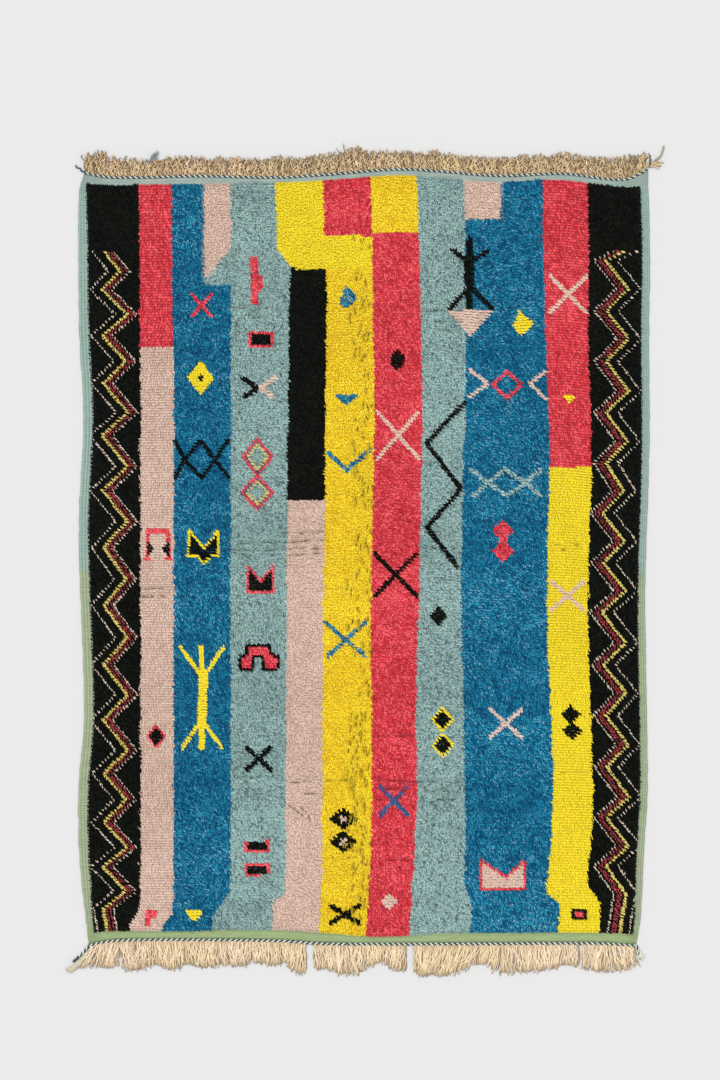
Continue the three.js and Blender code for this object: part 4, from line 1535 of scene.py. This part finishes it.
class RUG_OT_hang_fringes(Operator):
    """Let the warp ends out past each twined row, kinked and short above, long and in locks below"""

    bl_idname = "rug.hang_fringes"
    bl_label = "Hang Fringes"

    def execute(self, context):
        sizes = context.scene.rug_ends
        dyes = context.scene.rug_dyes
        rng = np.random.default_rng(sizes.seed)
        self.top_fringe(sizes, dyes, rng)
        self.bottom_fringe(sizes, dyes, rng)
        return {"FINISHED"}

    def top_fringe(self, sizes, dyes, rng):
        """Short curled yarns that lie over each other, with straighter ones under them."""
        steps, count = 28, sizes.top_strands
        first, last = left_edge(END_Y) + 12, right_edge(END_Y) - 10
        x = yarn_places(first, last, count, rng)
        under = np.arange(count) % 2 == 0
        level = np.where(x > 130, 0.45, 1.0)
        ragged = 1 + (0.09 * ripple(x, 16, 41) + 0.07 * ripple(x, 6, 42)) * level
        reach = along(TOP_REACH, place_across(x)) * ragged
        short = rng.uniform(0.6, 0.86, count)
        full = rng.uniform(0.6, 1.0, count) ** (0.36 * level)
        reach *= np.where(under, short, full)
        out = np.linspace(0, 1, steps)[None]
        swing = sizes.kink / MM * rng.uniform(0.75, 1.3, count) * np.where(under, 0.35, 1.0)
        turns = reach / (sizes.kink_turn / MM) * rng.uniform(0.8, 1.2, count)
        phase = rng.uniform(0, 2 * math.pi, (3, count))[..., None]
        bound = swing[:, None] * np.clip(out * 7, 0.2, 1) * (1 - 0.5 * out**3)
        wound = 2 * math.pi * turns[:, None] * out
        lean = rng.normal(0, 12, count) + 8 * ripple(x, 60, 31)
        lean += -9 * np.clip(1 - (x - first) / 40, 0, 1) + 9 * np.clip(1 - (last - x) / 40, 0, 1)
        across = x[:, None] + lean[:, None] * out + bound * np.sin(wound + phase[0])
        across += 5.5 * np.sin(wound * 0.22 + phase[2]) * np.clip(out * 3, 0, 1)
        curl = np.cos(wound + phase[0] + 0.5 * np.sin(wound * 0.3))
        forth = 3.0 + (reach[:, None] - 5.0) * out + 0.9 * bound * curl
        y = top_line(x)[:, None] + forth
        layer = rng.uniform(0, 1, count)[:, None]
        upper = 5.0 + 3.0 * layer + 1.8 * np.sin(wound * 0.47 + phase[1]) - 2.0 * out**3
        z = np.where(under[:, None], 2.3 + 0.8 * layer, upper)
        half = yarn_halves(sizes.top_yarn, out, under, 2.0, rng)
        flat = np.where(under, 0.4, 0.9)[:, None]
        # Depth for the painted shade: the under yarns lowest, the upper ones by height
        depth = np.where(under[:, None], 0.1, np.clip((z - 2.5) / 5.5, 0.35, 1))
        finish = fringe_finish("fringe_top_yarn", tuple(dyes.fringe_top))
        routes = np.stack((across, y, z), axis=2)
        fringe_piece("fringe_top_strands", "fringe_top", routes, half, finish, rng, depth, 3, flat)
        pale = fringe_finish("top_tail_yarn", dyed(0xA8A08A))
        grey = fringe_finish("grey_tuft_yarn", dyed(0x7F8C90))
        for name, tail, yarns, spread, thick, yarn in (
            ("fringe_top_tail", TOP_RIGHT_TAIL, 4, 1.5, 1.7, pale),
            ("fringe_top_tuft", TOP_RIGHT_TUFT, 10, 4.4, 1.8, finish),
            ("fringe_top_grey_tuft", GREY_TUFT, 13, 5.0, 1.1, grey),
        ):
            routes = tail_routes(tail, yarns, 14, spread, rng)
            half = np.full(routes.shape[:2], thick)
            # The tails get one even depth, and so a little of the painted shade
            fringe_piece(name, "fringe_top", routes, half, yarn, rng, half * 0 + 0.65, 5)

    def bottom_fringe(self, sizes, dyes, rng):
        """Longer, straighter yarns that gather into locks and cross, with ones under them darkened by
        painted shade.
        """
        steps, count = 12, sizes.bottom_strands
        first, last = left_edge(-END_Y) + 8, right_edge(-END_Y) - 6
        x = yarn_places(first, last, count, rng)
        place = place_across(x)
        open_place = np.ones(count, dtype=bool)
        for low, high in BOTTOM_BARE:
            open_place &= (place < low) | (place > high)
        x, place = x[open_place], place[open_place]
        count = len(x)
        under = np.arange(count) % 2 == 0
        lock = np.floor((x + 9 * ripple(x, 70, 61)) / (sizes.lock / MM)).astype(int)
        lock -= lock.min()
        lock_lean = rng.normal(0, 7, lock.max() + 1)
        lock_reach = rng.uniform(0.94, 1.05, lock.max() + 1)
        lean = 1.5 * lock_lean[lock] + rng.normal(0, 12, count) + 6 * ripple(x, 13, 62)
        lean += along(BOTTOM_LEAN, place)
        lean += -22 * np.clip(1 - (x - first) / 50, 0, 1)
        for low, high in BOTTOM_BARE:
            beside = np.abs(place - (low + high) / 2) < 0.03
            lean = np.where(beside, (place - (low + high) / 2) * 500 + rng.normal(0, 3, count), lean)
        reach = along(BOTTOM_REACH, place) * lock_reach[lock] * rng.uniform(0.7, 1.0, count) ** 0.4
        reach = reach * np.where(under, 0.93, 1.0)
        out = np.linspace(0, 1, steps)[None]
        phase = rng.uniform(0, 2 * math.pi, (3, count))[..., None]
        swing = rng.uniform(1.0, 4.8, count)[:, None] * np.clip(out * 5, 0, 1)
        wound = 2 * math.pi * rng.uniform(0.8, 2.2, count)[:, None] * out
        across = x[:, None] + lean[:, None] * out**1.2 + swing * np.sin(wound + phase[0])
        for at, wide in BOTTOM_PARTED:
            aside = (place - at) * CLOTH_WIDTH
            push = wide * np.sign(aside) * np.exp(-((aside / 16) ** 2))
            across += push[:, None] * np.sin(math.pi * np.clip(out * 1.3, 0, 1)) ** 2
        y = bottom_line(x)[:, None] - 3.0 - (reach[:, None] - 3.0) * out
        y += 0.6 * swing * np.sin(wound * 1.3 + phase[1])
        layer = rng.uniform(0, 1, count)[:, None]
        arch = np.sin(math.pi * np.clip(out * 0.9 + 0.1, 0, 1))
        upper = 2.6 + arch * (2.0 + 3.4 * layer) + 1.2 * np.sin(wound + phase[2])
        z = np.where(under[:, None], 2.3 + 0.6 * layer, upper)
        half = yarn_halves(sizes.bottom_yarn, out, under, 1.7, rng)
        flat = np.where(under, 0.5, 0.9)[:, None]
        # Depth for the painted shade: the under yarns lowest, the upper ones by height
        depth = np.where(under[:, None], 0.2, np.clip(0.25 + (z - 2.0) / 5.0, 0.3, 1))
        finish = fringe_finish("fringe_bottom_yarn", tuple(dyes.fringe_bottom), 0.66)
        routes = np.stack((across, y, z), axis=2)
        fringe_piece("fringe_bottom_strands", "fringe_bottom", routes, half, finish, rng, depth, 4, flat)
        pale = fringe_finish("pale_tail_yarn", dyed(0xB9B29B))
        tail = tail_routes(BOTTOM_LEFT_TAIL, 14, steps, 3.0, rng)
        tail_half = np.full(tail.shape[:2], 2.0)
        # The tail gets one even depth, and so a little of the painted shade
        tail_depth = tail_half * 0 + 0.8
        fringe_piece("fringe_bottom_tail", "fringe_bottom", tail, tail_half, pale, rng, tail_depth, 5)


class RUG_PT_panel(Panel):
    """Sizes, colours and steps of the rug"""

    bl_idname = "RUG_PT_panel"
    bl_label = "Wool Rug"
    bl_space_type = "VIEW_3D"
    bl_region_type = "UI"
    bl_category = "Rug"

    def draw(self, context):
        layout = self.layout
        layout.use_property_split = True
        for title, name, _ in SETTINGS:
            box = layout.box()
            box.label(text=title)
            group = getattr(context.scene, name)
            for key in group.__annotations__:
                box.prop(group, key)
        for step in STEPS:
            layout.operator(step.bl_idname)


SETTINGS = (
    ("Pile", "rug_pile", RugPileSizes),
    ("Dyes", "rug_dyes", RugDyes),
    ("Ends", "rug_ends", RugEndSizes),
    ("Stage", "rug_stage", RugStage),
)
STEPS = (RUG_OT_lay_stage, RUG_OT_weave_ground, RUG_OT_tie_pile, RUG_OT_twine_ends, RUG_OT_hang_fringes)


def register():
    for _, name, group in SETTINGS:
        bpy.utils.register_class(group)
        setattr(bpy.types.Scene, name, PointerProperty(type=group))
    for step in STEPS:
        bpy.utils.register_class(step)
    bpy.utils.register_class(RUG_PT_panel)


def unregister():
    bpy.utils.unregister_class(RUG_PT_panel)
    for step in reversed(STEPS):
        bpy.utils.unregister_class(step)
    for _, name, group in reversed(SETTINGS):
        delattr(bpy.types.Scene, name)
        bpy.utils.unregister_class(group)


def main():
    """Registers the add-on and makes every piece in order."""
    register()
    bpy.ops.rug.lay_stage()
    bpy.ops.rug.weave_ground()
    bpy.ops.rug.tie_pile()
    bpy.ops.rug.twine_ends()
    bpy.ops.rug.hang_fringes()


if __name__ == "__main__":
    main()
